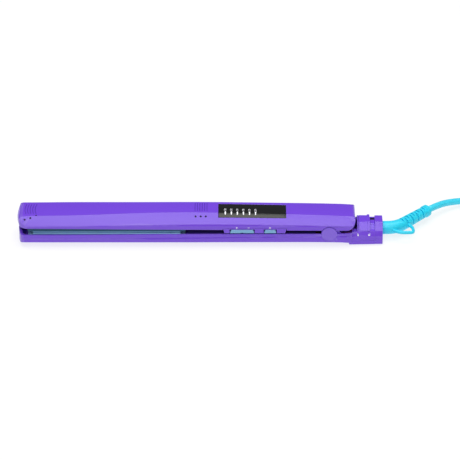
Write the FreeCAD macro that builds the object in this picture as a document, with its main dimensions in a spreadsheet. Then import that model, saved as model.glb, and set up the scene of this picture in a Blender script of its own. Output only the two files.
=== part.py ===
import FreeCAD, Part
import math
import os
import re
import Sketcher

# A hair straightener: two faceted arms hinged near the tail, a plate in each arm, a cord on a swivel.
# Frame: millimetres, +X towards the cord, +Y away from the button side, +Z up. The origin is on the
# surface that the iron lies on, below the middle of the length of its arms and tail.

V = FreeCAD.Vector
os.makedirs("parts", exist_ok=True)
doc = FreeCAD.newDocument("flat_iron")

# ---- driving dimensions ---------------------------------------------------------------------------------
SIZES = {
    # arms
    "tip_x": -136,
    "lower_tip_x": -135.2,
    "rear_x": 115.4,
    "half_width": 15,
    "wall": 1.6,
    "corner": 4,
    "tip_corner": 6.5,
    "bow": 1.4,
    "rear_round": 7,
    "tip_roll": 5.5,
    "rear_roll": 2.5,
    # hinge
    "pivot_x": 96,
    "pivot_z": 11.4,
    "pin_radius": 1.6,
    "ear_radius": 5.9,
    "ear_inner": 12.9,
    "ear_outer": 14.4,
    "cap_thick": 0.7,
    "recess_radius": 6.3,
    "knuckle_radius": 4.2,
    "knuckle_half": 11.8,
    "spring_half": 5.2,
    # heating plates
    "plate_start": -124.4,
    "plate_length": 110,
    "plate_half": 12.2,
    "plate_thick": 2.7,
    "plate_bevel": 0.5,
    "plates_meet": 10.9,
    "plate_gap": 0.1,
    "heater_thick": 2.0,
    "carrier_end": 3.4,
    "carrier_half": 12.9,
    "plate_shown": 1.8,
    # inner covers
    "cover_start": -10.2,
    "cover_end": 86,
    "cover_half": 12.8,
    "cover_thick": 1.4,
    "upper_cover_z": 15.6,
    "lower_cover_z": 8.9,
    # display and buttons
    "window_start": 13.6,
    "window_end": 64,
    "window_far": 5.2,
    "window_near": 10.5,
    "window_thick": 1.2,
    "window_play": 0.15,
    "panel_start": 17.0,
    "panel_end": 64.4,
    "panel_low": 12.5,
    "panel_high": 16.6,
    "button_low": 12.7,
    "button_high": 15.4,
    "rocker_start": 22.3,
    "rocker_end": 40.3,
    "power_start": 47.6,
    "power_end": 56.7,
    "button_proud": 0.5,
    "button_play": 0.3,
    # boards, screws and leads
    "display_start": 10,
    "display_end": 68,
    "display_low": 20.2,
    "display_high": 21.4,
    "light_start": 18,
    "light_step": 4.49,
    "button_board_front": 8.4,
    "button_board_back": 7.0,
    "screw_front": 6,
    "screw_rear": 76,
    "screw_hole_radius": 1.4,
    "screw_shank_radius": 1.1,
    "screw_shank_long": 4,
    "screw_head_radius": 2.0,
    "screw_head_thick": 0.9,
    "screw_socket_radius": 0.9,
    "peg_x": -4,
    "peg_radius": 1.9,
    "peg_clear": 0.9,
    "heater_half": 7,
    "lead_radius": 0.9,
    "lead_z": 4.6,
    # tail
    "tail_start": 113,
    "tail_wall_x": 117,
    "tail_seam_z": 4.5,
    "collar_x": 130.2,
    "tail_end": 136,
    "shoulder_z": 11.0,
    "saddle_start": 118,
    "saddle_floor": 11.5,
    "slider_start": 118.2,
    "slider_end": 126.4,
    # cord
    "cord_axis_z": 8.2,
    "core_radius": 5.6,
    "boot_radius": 5.0,
    "boot_end_radius": 4.2,
    "boot_bend_x": 146.5,
    "boot_length": 35,
    "boot_turn": 45,
    "loop_hole": 4.8,
    "cord_radius": 2.5,
    "hank_x": 308,
    "hank_y": 23.3,
    "hank_half": 48,
    "hank_round": 27.6,
    "hank_waist": 15.9,
    "hank_high": 10.4,
    "tie_half": 9,
    "tie_thick": 0.8,
    "plug_half": 13.5,
    "plug_thick": 13.7,
    "plug_long": 26,
    "relief_long": 22,
    "plug_pin_radius": 2.0,
    "plug_pin_long": 19,
    "plug_pin_half": 9.3,
}
# Cross sections of the upper arm, from tip to rear: place along X, height and half width of the top facet,
# height and half width of the crease below the chamfer, top and bottom of the upright side.
UPPER_STATIONS = [
    (-138, 24.0, 10.4, 18.2, 14.95, 18.0, 16.4),
    (-105, 24.5, 9.8, 18.5, 14.9, 18.2, 16.2),
    (-75, 25.0, 9.1, 18.9, 14.8, 18.3, 15.9),
    (-38, 25.8, 7.8, 19.6, 14.6, 18.6, 15.6),
    (0, 26.0, 7.6, 20.1, 14.5, 18.9, 15.4),
    (60, 24.9, 8.2, 19.6, 14.5, 18.5, 14.8),
    (95, 24.0, 8.7, 18.9, 14.6, 17.8, 14.6),
    (118, 22.7, 8.7, 18.1, 14.7, 16.9, 14.6),
]
# Cross sections of the lower arm: place along X, height and half width of the underside, half width and
# bottom and top of the upright side, half width and bottom of the lip above it, top of the lip.
LOWER_STATIONS = [
    (-138, 1.7, 9.6, 15.0, 4.6, 7.3, 14.9, 7.6, 10.6),
    (-105, 1.3, 9.2, 15.0, 4.5, 7.1, 14.7, 7.7, 10.6),
    (-75, 0.9, 8.6, 15.0, 4.5, 6.9, 14.5, 7.9, 10.7),
    (-38, 0.1, 7.8, 15.0, 4.5, 6.8, 14.2, 8.1, 10.9),
    (0, -0.15, 7.6, 15.0, 4.6, 7.4, 14.2, 8.7, 11.1),
    (60, 0.9, 8.0, 15.0, 4.7, 8.2, 14.3, 9.4, 11.3),
    (95, 1.0, 8.6, 15.0, 4.6, 8.4, 14.5, 9.6, 11.4),
    (114, -0.1, 9.2, 12.9, 2.8, 8.2, 12.2, 9.4, 11.0),
]
# Cross sections of the tail: place along X, top, half width of the top facet, then the half width and height
# of the crease below the chamfer, of the belt, of the foot, and the half width of the underside.
TAIL_STATIONS = [
    (108, 16.1, 5.0, 10.6, 11.7, 13.0, 7.8, 13.2, 1.5, 9.6),
    (137, 16.1, 4.6, 9.8, 11.7, 11.7, 7.6, 11.9, 1.2, 9.4),
]
# The cord's route on the surface, from the end of the boot to the hank, chosen by hand.
CORD_ROUTE = [
    (171.7, 25.2, 8.2),
    (180.8, 34.3, 7.5),
    (191.7, 41.4, 5.6),
    (204.9, 46.2, 3.6),
    (219.7, 48.1, 2.6),
    (232.5, 48.3, 2.5),
    (243.8, 48.3, 2.5),
]

sheet = doc.addObject("Spreadsheet::Sheet", "Sizes")
for row, (alias, size) in enumerate(SIZES.items(), start=1):
    sheet.set(f"A{row}", alias.replace("_", " "))
    sheet.set(f"B{row}", str(size))
    sheet.setAlias(f"B{row}", alias)
doc.recompute()


def cell(alias):
    """The number in the sheet's cell of that name."""
    return float(sheet.get(alias))


def bound(text):
    """A formula whose words are cells of the sheet, as an expression of the document."""
    return re.sub(r"[a-z][a-z_]+", lambda word: "Sizes." + word.group(0), str(text))


# ---- helpers that make one object of the document -------------------------------------------------------
def place(thing, at):
    for axis, text in zip("xyz", at, strict=True):
        thing.setExpression(f".Placement.Base.{axis}", bound(text))


def block(name, low, high):
    """A box between two corners, each a formula."""
    thing = doc.addObject("Part::Box", name)
    for side, a, b in zip(("Length", "Width", "Height"), low, high, strict=True):
        thing.setExpression(side, bound(f"({b}) - ({a})"))
    place(thing, low)
    return thing


TURNS = {
    "x": FreeCAD.Rotation(V(0, 1, 0), 90),
    "y": FreeCAD.Rotation(V(1, 0, 0), -90),
    "z": FreeCAD.Rotation(),
}


def rod(name, radius, length, at, along):
    """A cylinder that starts at a point and runs along +X, +Y or +Z."""
    thing = doc.addObject("Part::Cylinder", name)
    thing.setExpression("Radius", bound(radius))
    thing.setExpression("Height", bound(length))
    thing.Placement.Rotation = TURNS[along]
    place(thing, at)
    return thing


def boolean(kind, name, base, tool):
    thing = doc.addObject(kind, name)
    thing.Base = base
    thing.Tool = tool
    return thing


def cut(name, base, *tools):
    for number, tool in enumerate(tools, start=1):
        base = boolean("Part::Cut", f"{name}_cut_{number}", base, tool)
    return base


def fuse(name, *pieces):
    thing = doc.addObject("Part::MultiFuse", f"{name}_fused")
    thing.Shapes = list(pieces)
    return thing


def group(name, *pieces):
    """Separate solids that share one node."""
    thing = doc.addObject("Part::Compound", f"{name}_group")
    thing.Links = list(pieces)
    return thing


def shaped(name, shape):
    """An object whose shape comes from Part's own functions."""
    thing = doc.addObject("Part::Feature", name)
    thing.Shape = shape
    return thing


nodes = {}


def node(label, thing):
    thing.Label = label
    nodes[label] = thing
    return thing


# ---- sketches of PartDesign bodies ----------------------------------------------------------------------
def sketch_on(body, plane, name):
    sketch = body.newObject("Sketcher::SketchObject", name)
    origin = next(p for p in body.Origin.OriginFeatures if p.Role == plane)
    sketch.AttachmentSupport = [(origin, "")]
    sketch.MapMode = "FlatFace"
    return sketch


def closed_outline(sketch, points):
    """A closed outline whose corners are formulas, each held by its two distances from the origin."""
    values = [tuple(eval_formula(t) for t in point) for point in points]
    count = len(points)
    for k in range(count):
        a, b = values[k], values[(k + 1) % count]
        sketch.addGeometry(Part.LineSegment(V(*a, 0), V(*b, 0)), False)
    for k in range(count):
        sketch.addConstraint(Sketcher.Constraint("Coincident", k, 2, (k + 1) % count, 1))
    for k, (point, value) in enumerate(zip(points, values, strict=True)):
        for kind, text, number in zip(("DistanceX", "DistanceY"), point, value, strict=True):
            if number < 0:
                index = sketch.addConstraint(Sketcher.Constraint(kind, k, 1, -1, 1, -number))
                sketch.setExpression(f"Constraints[{index}]", bound(f"-({text})"))
            elif number > 0:
                index = sketch.addConstraint(Sketcher.Constraint(kind, -1, 1, k, 1, number))
                sketch.setExpression(f"Constraints[{index}]", bound(text))
            else:
                on = 2 if kind == "DistanceX" else 1
                sketch.addConstraint(Sketcher.Constraint("PointOnObject", k, 1, -on))


def eval_formula(text):
    """The number that a formula of cells gives."""
    filled_in = re.sub(r"[a-z][a-z_]+", lambda word: str(cell(word.group(0))), str(text))
    return float(sheet.evalExpression(filled_in))


# ---- lofted casings -------------------------------------------------------------------------------------
def mirrored(x, half):
    """A closed wire across the iron at x, from one half of its outline, top to bottom."""
    ring = [V(x, y, z) for y, z in half] + [V(x, -y, z) for y, z in reversed(half)]
    return Part.makePolygon([*ring, ring[0]])


def upper_half(station, inset, drop):
    _, top, crown, crease_z, crease_y, side_z, skirt = station
    return [
        (crown - 0.5 * inset, top - inset),
        (crease_y - inset, crease_z - 0.7 * inset),
        (cell("half_width") - inset, side_z - 0.8 * inset),
        (cell("half_width") - inset, skirt - drop),
    ]


def lower_half(station, inset, rise):
    _, floor_z, floor_y, width, side_low, side_high, lip_y, lip_z, rim = station
    return [
        (lip_y - 0.75 * inset, rim + rise),
        (lip_y - 0.75 * inset, lip_z),
        (width - inset, side_high),
        (width - inset, side_low + 0.5 * inset),
        (floor_y - 0.5 * inset, floor_z + inset),
    ]


def tail_half(station, inset):
    _, top, crown, crease_y, crease_z, belt_y, belt_z, foot_y, foot_z, floor_y = station
    return [
        (crown - 0.5 * inset, top - inset),
        (crease_y - 0.9 * inset, crease_z - 0.5 * inset),
        (belt_y - inset, belt_z),
        (foot_y - inset, foot_z + 0.5 * inset),
        (floor_y - 0.5 * inset, inset),
    ]


def outline_prism(front, rear, half, front_corner, corner, low, high):
    """The iron's outline seen from above as an upright block: a bowed front and rounded corners."""
    bow = cell("bow")
    slope, front_slope = corner * 0.29, front_corner * 0.29
    points = {
        "side_front": V(front + bow + front_corner, half, low),
        "front_round": V(front + bow + front_slope, half - front_slope, low),
        "front": V(front + bow, half - front_corner, low),
        "nose": V(front, 0, low),
        "rear": V(rear, half - corner, low),
        "rear_round": V(rear - slope, half - slope, low),
        "side_rear": V(rear - corner, half, low),
    }

    def other(name):
        return V(points[name].x, -points[name].y, low)

    edges = [
        Part.Arc(points["side_front"], points["front_round"], points["front"]).toShape(),
        Part.Arc(points["front"], points["nose"], other("front")).toShape(),
        Part.Arc(other("front"), other("front_round"), other("side_front")).toShape(),
        Part.LineSegment(other("side_front"), other("side_rear")).toShape(),
        Part.Arc(other("side_rear"), other("rear_round"), other("rear")).toShape(),
        Part.LineSegment(other("rear"), points["rear"]).toShape(),
        Part.Arc(points["rear"], points["rear_round"], points["side_rear"]).toShape(),
        Part.LineSegment(points["side_rear"], points["side_front"]).toShape(),
    ]
    return Part.Face(Part.Wire(edges)).extrude(V(0, 0, high - low))


def space(x0, x1, z0, z1, half=20):
    """A plain block across the iron, for trimming a loft."""
    return Part.makeBox(x1 - x0, 2 * half, z1 - z0, V(x0, -half, z0))


def rolled_edge(end_x, top_z, radius, inward):
    """What is trimmed off to round the edge between the top facet and an end of the upper arm."""
    middle_x = end_x + inward * radius
    outer_x = end_x - inward * 2
    low_x, high_x = sorted((middle_x, outer_x))
    roller = Part.makeCylinder(radius, 40, V(middle_x, -20, top_z - radius), V(0, 1, 0))
    return space(low_x, high_x, top_z - radius, 40).cut(roller)


def upper_solid(inset, drop):
    wires = [mirrored(s[0], upper_half(s, inset, drop)) for s in UPPER_STATIONS]
    back = inset * 1.2
    tip, rear = cell("tip_x") + back, cell("rear_x") - back
    prism = outline_prism(
        tip, rear, cell("half_width") - inset, cell("tip_corner"), cell("corner"), 0, 40
    )
    tip_edge = rolled_edge(tip, UPPER_STATIONS[0][1] + 0.3 - inset, cell("tip_roll") - inset, 1)
    rear_edge = rolled_edge(rear, UPPER_STATIONS[-1][1] + 0.5 - inset, cell("rear_roll") - 0.8 * inset, -1)
    return Part.makeLoft(wires, True, False).common(prism).cut(tip_edge).cut(rear_edge)


def lower_solid(inset, rise):
    wires = [mirrored(s[0], lower_half(s, inset, rise)) for s in LOWER_STATIONS]
    back = inset * 1.2
    prism = outline_prism(
        cell("lower_tip_x") + back,
        cell("rear_x"),
        cell("half_width") - inset,
        cell("corner"),
        cell("corner"),
        inset,
        40,
    )
    return Part.makeLoft(wires, True, False).common(prism)


def tail_solid(inset):
    wires = [mirrored(s[0], tail_half(s, inset)) for s in TAIL_STATIONS]
    return Part.makeLoft(wires, True, True)


wall = cell("wall")
pivot = ("pivot_x", "0", "pivot_z")

# ---- upper arm casing -----------------------------------------------------------------------------------
upper_blank = shaped("upper_blank", upper_solid(0, 0).cut(upper_solid(wall, 4)))
rear_round = cell("rear_round")
rear_low = UPPER_STATIONS[-1][-1]
rear_corner = space(cell("rear_x") - rear_round, 120, 8, rear_low + rear_round).cut(
    Part.makeCylinder(
        rear_round, 40, V(cell("rear_x") - rear_round, -20, rear_low + rear_round), V(0, 1, 0)
    )
)
rear_cutter = shaped("rear_corner_cutter", rear_corner)
window_hole = block(
    "window_hole", ("window_start", "-window_near", "20"), ("window_end", "window_far", "30")
)
near_recess = rod("near_recess", "recess_radius", "4", ("pivot_x", "-ear_inner - 3.7", "pivot_z"), "y")
far_recess = rod("far_recess", "recess_radius", "4", ("pivot_x", "ear_inner - 0.3", "pivot_z"), "y")
panel_slot = block(
    "panel_slot",
    ("panel_start", "-half_width - 1", "12"),
    ("panel_end", "-half_width + wall + 0.4", "panel_high"),
)
casing = cut("upper_shell", upper_blank, rear_cutter, window_hole, near_recess, far_recess, panel_slot)
node("upper_shell", casing)

# ---- display window: a thin skin that follows the facets ------------------------------------------------
skin = shaped("window_skin", upper_solid(0.05, 0).cut(upper_solid(cell("window_thick"), 4)))
window_block = block(
    "window_block",
    ("window_start + window_play", "-window_near + window_play", "20"),
    ("window_end - window_play", "window_far - window_play", "30"),
)
node("display_window", boolean("Part::Common", "window_common", skin, window_block))

# ---- display board with its indicator lights ------------------------------------------------------------
node(
    "display_board",
    block(
        "display_board_block",
        ("display_start", "-8.5", "display_low"),
        ("display_end", "6.5", "display_high"),
    ),
)
lights = []
for number in range(6):
    start = f"light_start + {number} * light_step"
    near, far = (start, "-7.2", "display_high"), (f"{start} + 1.6", "-4.2", "display_high + 0.7")
    lights.append(block(f"light_{number}", near, far))
node("indicator_lights", group("indicator_lights", *lights))

# ---- button panel: a skirt below the near side of the upper arm, notched for the buttons ----------------
slant = 1.2
panel_low, panel_high = cell("panel_low"), cell("panel_high") - 0.1
panel_face = Part.Face(
    Part.makePolygon(
        [
            V(cell("panel_start") + 0.1, -15, panel_high),
            V(cell("panel_end") - 0.1, -15, panel_high),
            V(cell("panel_end") - slant, -15, panel_low),
            V(cell("panel_start") + slant, -15, panel_low),
            V(cell("panel_start") + 0.1, -15, panel_high),
        ]
    )
)
panel_blank = shaped("panel_blank", panel_face.extrude(V(0, wall, 0)))
rocker_notch = block(
    "rocker_notch",
    ("rocker_start - button_play", "-half_width - 1", "panel_low - 1"),
    ("rocker_end + button_play", "-half_width + 3", "button_high + button_play"),
)
power_notch = block(
    "power_notch",
    ("power_start - button_play", "-half_width - 1", "panel_low - 1"),
    ("power_end + button_play", "-half_width + 3", "button_high + button_play"),
)
node("button_panel", cut("button_panel", panel_blank, rocker_notch, power_notch))


# ---- buttons: padded outlines with a rounded face -------------------------------------------------------
def button(label, outline, thick):
    """A button drawn on the upright plane and padded inwards from a face that stands proud of the panel."""
    body = doc.addObject("PartDesign::Body", f"{label}_body")
    sketch = sketch_on(body, "XZ_Plane", f"{label}_outline")
    closed_outline(sketch, outline)
    doc.recompute()
    pad = body.newObject("PartDesign::Pad", f"{label}_pad")
    pad.Profile = sketch
    pad.setExpression("Length", bound(thick))
    doc.recompute()
    edge = body.newObject("PartDesign::Chamfer", f"{label}_edge")
    face = max(range(len(pad.Shape.Faces)), key=lambda k: -pad.Shape.Faces[k].CenterOfMass.y)
    edge.Base = (pad, [f"Face{face + 1}"])
    edge.Size = 0.3
    body.Tip = edge
    place(body, ("0", "-half_width + 3.2 - button_proud", "0"))
    return node(label, body)


rocker_mid = "(rocker_start + rocker_end) / 2"
button(
    "temperature_rocker",
    [
        ("rocker_start", "button_low"),
        (f"{rocker_mid} - 1.2", "button_low"),
        (rocker_mid, "button_low + 0.5"),
        (f"{rocker_mid} + 1.2", "button_low"),
        ("rocker_end", "button_low"),
        ("rocker_end - 0.9", "button_high"),
        ("rocker_start + 0.9", "button_high"),
    ],
    "3.2",
)
button(
    "power_button",
    [
        ("power_start", "button_low"),
        ("power_end", "button_low"),
        ("power_end - 0.9", "button_high"),
        ("power_start + 0.9", "button_high"),
    ],
    "3.2",
)

# ---- button board and the three switches behind the buttons ---------------------------------------------
node(
    "button_board",
    block("button_board_block", ("19", "-button_board_front", "12.4"), ("62", "-7.2", "15.2")),
)
switches = []
for number, middle in enumerate(("rocker_start + 4.5", "rocker_end - 4.5", "(power_start + power_end) / 2")):
    switches.append(
        block(
            f"switch_{number}",
            (f"{middle} - 1.5", "-11.0", "12.8"),
            (f"{middle} + 1.5", "-button_board_front", "15.0"),
        )
    )
node("button_switches", group("button_switches", *switches))

# ---- inner covers that close the arms behind the plates -------------------------------------------------
SCREW_PLACES = ("screw_front", "screw_rear")
upper_cover = block(
    "upper_cover_blank",
    ("cover_start", "-cover_half", "upper_cover_z"),
    ("cover_end", "cover_half", "upper_cover_z + cover_thick"),
)
board_slot = block(
    "board_slot",
    ("panel_start - 0.2", "-cover_half - 1", "upper_cover_z - 1"),
    ("panel_end + 0.2", "-button_board_back", "upper_cover_z + 3"),
)
upper_screw_holes = [
    rod(f"upper_screw_hole_{n}", "screw_hole_radius", "3", (x, "0", "upper_cover_z - 0.5"), "z")
    for n, x in enumerate(SCREW_PLACES)
]
node("upper_inner_cover", cut("upper_inner_cover", upper_cover, board_slot, *upper_screw_holes))
node(
    "alignment_peg",
    rod(
        "alignment_peg_rod",
        "peg_radius",
        "upper_cover_z - plates_meet - peg_clear",
        ("peg_x", "0", "plates_meet + peg_clear"),
        "z",
    ),
)
lower_cover = block(
    "lower_cover_blank",
    ("cover_start", "-cover_half", "lower_cover_z"),
    ("cover_end", "cover_half", "lower_cover_z + cover_thick"),
)
lower_screw_holes = [
    rod(f"lower_screw_hole_{n}", "screw_hole_radius", "3", (x, "0", "lower_cover_z - 0.5"), "z")
    for n, x in enumerate(SCREW_PLACES)
]
node("lower_inner_cover", cut("lower_inner_cover", lower_cover, *lower_screw_holes))


SOCKET = {"lower_cover_screws": 0.4, "upper_cover_screws": -0.1}


def screws(label, head_z, shank_z):
    """Two screws on the middle line of an inner cover, head first and then the shank."""
    pieces = []
    for number, x in enumerate(SCREW_PLACES):
        place_of_shank = (x, "0", shank_z)
        shank = rod(f"{label}_shank_{number}", "screw_shank_radius", "screw_shank_long", place_of_shank, "z")
        head = rod(f"{label}_head_{number}", "screw_head_radius", "screw_head_thick", (x, "0", head_z), "z")
        socket_z = f"{head_z} + {SOCKET[label]}"
        socket = rod(f"{label}_socket_{number}", "screw_socket_radius", "0.6", (x, "0", socket_z), "z")
        pieces.append(cut(f"{label}_{number}", fuse(f"{label}_{number}", shank, head), socket))
    return node(label, group(label, *pieces))


screws("lower_cover_screws", "lower_cover_z + cover_thick", "lower_cover_z + cover_thick - screw_shank_long")
screws("upper_cover_screws", "upper_cover_z - screw_head_thick", "upper_cover_z")


# ---- heating plates: a bevelled profile padded along the arm --------------------------------------------
def plate(label, face_z, back_z):
    """A plate with bevelled long edges on its hot face, from its cross section."""
    body = doc.addObject("PartDesign::Body", f"{label}_body")
    sketch = sketch_on(body, "YZ_Plane", f"{label}_profile")
    inward = "+" if label == "upper_plate" else "-"
    edge_z = f"{face_z} {inward} plate_bevel"
    closed_outline(
        sketch,
        [
            ("-plate_half + plate_bevel", face_z),
            ("plate_half - plate_bevel", face_z),
            ("plate_half", edge_z),
            ("plate_half", back_z),
            ("-plate_half", back_z),
            ("-plate_half", edge_z),
        ],
    )
    doc.recompute()
    pad = body.newObject("PartDesign::Pad", f"{label}_pad")
    pad.Profile = sketch
    pad.setExpression("Length", bound("plate_length"))
    place(body, ("plate_start", "0", "0"))
    return node(label, body)


upper_face, lower_face = "plates_meet + plate_gap / 2", "plates_meet - plate_gap / 2"
plate("upper_plate", upper_face, f"{upper_face} + plate_thick")
plate("lower_plate", lower_face, f"{lower_face} - plate_thick")
heater_start, heater_end = "plate_start + 14", "plate_start + plate_length - 14"
upper_back, lower_back = f"{upper_face} + plate_thick", f"{lower_face} - plate_thick"
node(
    "upper_heater",
    block(
        "upper_heater_bar",
        (heater_start, "-heater_half", upper_back),
        (heater_end, "heater_half", f"{upper_back} + heater_thick"),
    ),
)
node(
    "lower_heater",
    block(
        "lower_heater_bar",
        (heater_start, "-heater_half", f"{lower_back} - heater_thick"),
        (heater_end, "heater_half", lower_back),
    ),
)
node(
    "temperature_sensor",
    rod("sensor_bead", "0.8", "6", ("-50", "0", f"{upper_back} + heater_thick + 0.8"), "x"),
)


# ---- plate carriers: trays that hold the plates, open where the heater passes ---------------------------
def carrier(label, low, high):
    tray = block(
        f"{label}_tray",
        ("plate_start - carrier_end", "-carrier_half", low),
        ("plate_start + plate_length + carrier_end", "carrier_half", high),
    )
    pocket = block(
        f"{label}_pocket",
        ("plate_start - 0.3", "-plate_half - 0.15", f"{low} - 1"),
        ("plate_start + plate_length + 0.3", "plate_half + 0.15", f"{high} + 1"),
    )
    return node(label, cut(label, tray, pocket))


carrier("upper_plate_carrier", "plates_meet + plate_shown", "17.6")
carrier("lower_plate_carrier", "5.6", "plates_meet - plate_shown")


# ---- silicone cushions that let each plate give ---------------------------------------------------------
def cushions(label, low, high):
    pads = []
    for number, (x, y) in enumerate(((-115, -8.5), (-115, 8.5), (-24, -8.5), (-24, 8.5))):
        pads.append(block(f"{label}_{number}", (f"{x} - 4", f"{y} - 2", low), (f"{x} + 4", f"{y} + 2", high)))
    return node(label, group(label, *pads))


cushions("upper_plate_cushions", upper_back, f"{upper_back} + 3.4")
cushions("lower_plate_cushions", f"{lower_back} - 3.4", lower_back)

# ---- hinge knuckle of the upper arm, its pin, caps and spring -------------------------------------------
knuckle_round = rod(
    "knuckle_round", "knuckle_radius", "2 * knuckle_half", ("pivot_x", "-knuckle_half", "pivot_z"), "y"
)
knuckle_web = block(
    "knuckle_web", ("pivot_x - 6", "-knuckle_half", "pivot_z + 1"), ("pivot_x + 6", "knuckle_half", "18.6")
)
knuckle_bore = rod("knuckle_bore", "pin_radius + 0.05", "40", ("pivot_x", "-20", "pivot_z"), "y")
knuckle_gap = block(
    "knuckle_gap",
    ("pivot_x - 7", "-spring_half", "pivot_z - 6"),
    ("pivot_x + 7", "spring_half", "pivot_z + 6"),
)
knuckle = fuse("knuckle", knuckle_round, knuckle_web)
node("hinge_knuckle", cut("hinge_knuckle", knuckle, knuckle_bore, knuckle_gap))

pin_body = doc.addObject("PartDesign::Body", "hinge_pin_body")
pin_sketch = sketch_on(pin_body, "XY_Plane", "hinge_pin_profile")
closed_outline(
    pin_sketch,
    [
        ("0", "-ear_outer"),
        ("2.6", "-ear_outer"),
        ("2.6", "-ear_outer + 0.6"),
        ("pin_radius", "-ear_outer + 0.6"),
        ("pin_radius", "ear_outer"),
        ("0", "ear_outer"),
    ],
)
doc.recompute()
pin_turned = pin_body.newObject("PartDesign::Revolution", "hinge_pin_turned")
pin_turned.Profile = pin_sketch
pin_turned.ReferenceAxis = (pin_sketch, ["V_Axis"])
pin_turned.Angle = 360
place(pin_body, pivot)
node("hinge_pin", pin_body)

near_cap = rod("near_cap", "ear_radius", "cap_thick", ("pivot_x", "-ear_outer - cap_thick", "pivot_z"), "y")
far_cap = rod("far_cap", "ear_radius", "cap_thick", ("pivot_x", "ear_outer", "pivot_z"), "y")
node("pivot_caps", group("pivot_caps", near_cap, far_cap))

# The opening spring: a coil round the pin whose leg lies in the lower arm.
coil_radius, wire_radius, coil_turns = 2.9, 0.5, 5
coil_pitch = 1.6
helix = Part.makeHelix(coil_pitch, coil_pitch * coil_turns, coil_radius)
coil_start = V(coil_radius, 0, 0)
coil_section = Part.Wire([Part.makeCircle(wire_radius, coil_start, V(0, 1, 0))])
coil = Part.Wire(helix).makePipeShell([coil_section], True, True)
coil.rotate(V(0, 0, 0), V(1, 0, 0), -90)
coil.translate(V(cell("pivot_x"), -coil_pitch * coil_turns / 2, cell("pivot_z")))
node("opening_spring", shaped("opening_spring_coil", coil))

# ---- lower arm casing -----------------------------------------------------------------------------------
tail_start, tail_end, collar_x = cell("tail_start"), cell("tail_end"), cell("collar_x")
seam_z = cell("tail_seam_z")
arm_part = lower_solid(0, 0).cut(lower_solid(wall, 4)).common(space(-140, tail_start, 0, 12))
tail_tray = tail_solid(0).cut(tail_solid(wall)).common(space(tail_start - 2, collar_x, 0, seam_z))
arm_blank = shaped("lower_blank", arm_part.fuse(tail_tray))
ears = []
for side, start in (("near", "-ear_outer"), ("far", "ear_inner")):
    ears.append(rod(f"{side}_ear", "ear_radius", "ear_outer - ear_inner", ("pivot_x", start, "pivot_z"), "y"))
pin_hole = rod("pin_hole", "pin_radius + 0.05", "40", ("pivot_x", "-20", "pivot_z"), "y")
near_seat = rod("near_cap_seat", "ear_radius + 0.05", "4", ("pivot_x", "-ear_outer - 4", "pivot_z"), "y")
far_seat = rod("far_cap_seat", "ear_radius + 0.05", "4", ("pivot_x", "ear_outer", "pivot_z"), "y")
head_seat = rod("pin_head_seat", "2.65", "0.65", ("pivot_x", "-ear_outer", "pivot_z"), "y")
node(
    "lower_shell",
    cut("lower_shell", fuse("lower_shell", arm_blank, *ears), pin_hole, head_seat, near_seat, far_seat),
)

# ---- tail cover, with the saddle that the lock slides in ------------------------------------------------
above_saddle = space(cell("saddle_start"), collar_x, cell("saddle_floor"), 20)
saddle = tail_solid(-1).cut(tail_solid(wall)).common(above_saddle)
cover_blank = tail_solid(0).cut(tail_solid(2 * wall)).common(space(tail_start, collar_x, seam_z, 20))
front_wall = tail_solid(0).common(space(cell("tail_wall_x"), cell("tail_wall_x") + 1, seam_z, 20))
front_wall = front_wall.cut(space(tail_start, collar_x, seam_z - 1, 7, half=6))
shoulder_space = space(tail_start - 1, cell("tail_wall_x"), cell("shoulder_z"), 20)
cover_blank = cover_blank.fuse(front_wall).cut(shoulder_space)
node("tail_cover", cut("tail_cover", shaped("tail_cover_blank", cover_blank), shaped("saddle_space", saddle)))

slider_room = space(cell("slider_start"), cell("slider_end"), cell("saddle_floor") + 0.2, 20)
slider_skin = tail_solid(0).cut(tail_solid(wall - 0.2)).common(slider_room)
ridge_room = space(cell("slider_end") - 1.8, cell("slider_end"), cell("saddle_floor") + 0.4, 20)
ridge = tail_solid(-0.6).cut(tail_solid(wall - 0.4)).common(ridge_room)
node("lock_slider", shaped("lock_slider_skin", slider_skin.fuse(ridge)))

# ---- end collar, contact block and the leads ------------------------------------------------------------
collar_blank = shaped("collar_blank", tail_solid(0).common(space(collar_x, tail_end, 0, 20)))
socket = rod(
    "swivel_socket",
    "core_radius + 0.3",
    "tail_end - collar_x - 0.5",
    ("collar_x - 1", "0", "cord_axis_z"),
    "x",
)
mouth = rod("swivel_mouth", "boot_radius + 0.3", "10", ("collar_x", "0", "cord_axis_z"), "x")
node("end_collar", cut("end_collar", collar_blank, socket, mouth))
node("contact_block", block("contact_block_body", ("118.3", "-5", "3.6"), ("123", "5", "10.6")))
leads = [
    rod(f"supply_lead_{n}", "lead_radius", "111.8", ("6.5", y, "lead_z"), "x")
    for n, y in enumerate(("-2.4", "2.4"))
]
node("supply_leads", group("supply_leads", *leads))
node("thermal_fuse", rod("thermal_fuse_body", "1.7", "11", ("-6", "0", "lead_z"), "x"))
heater_leads = [
    rod(f"heater_lead_{n}", "lead_radius", "30", ("-22", y, "19.2"), "x") for n, y in enumerate(("-3", "3"))
]
node("heater_leads", group("heater_leads", *heater_leads))

# ---- cord swivel: a core held in the collar, and the soft boot with its hanging loop --------------------
core_body = doc.addObject("PartDesign::Body", "swivel_core_body")
core_sketch = sketch_on(core_body, "XY_Plane", "swivel_core_profile")
closed_outline(
    core_sketch,
    [
        ("123.4", "0"),
        ("123.4", "2.2"),
        ("128.6", "2.2"),
        ("128.6", "4.6"),
        ("130.8", "4.6"),
        ("130.8", "core_radius"),
        ("133.6", "core_radius"),
        ("133.6", "0"),
    ],
)
doc.recompute()
core_turned = core_body.newObject("PartDesign::Revolution", "swivel_core_turned")
core_turned.Profile = core_sketch
core_turned.ReferenceAxis = (core_sketch, ["H_Axis"])
core_turned.Angle = 360
place(core_body, ("0", "0", "cord_axis_z"))
node("swivel_core", core_body)

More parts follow.
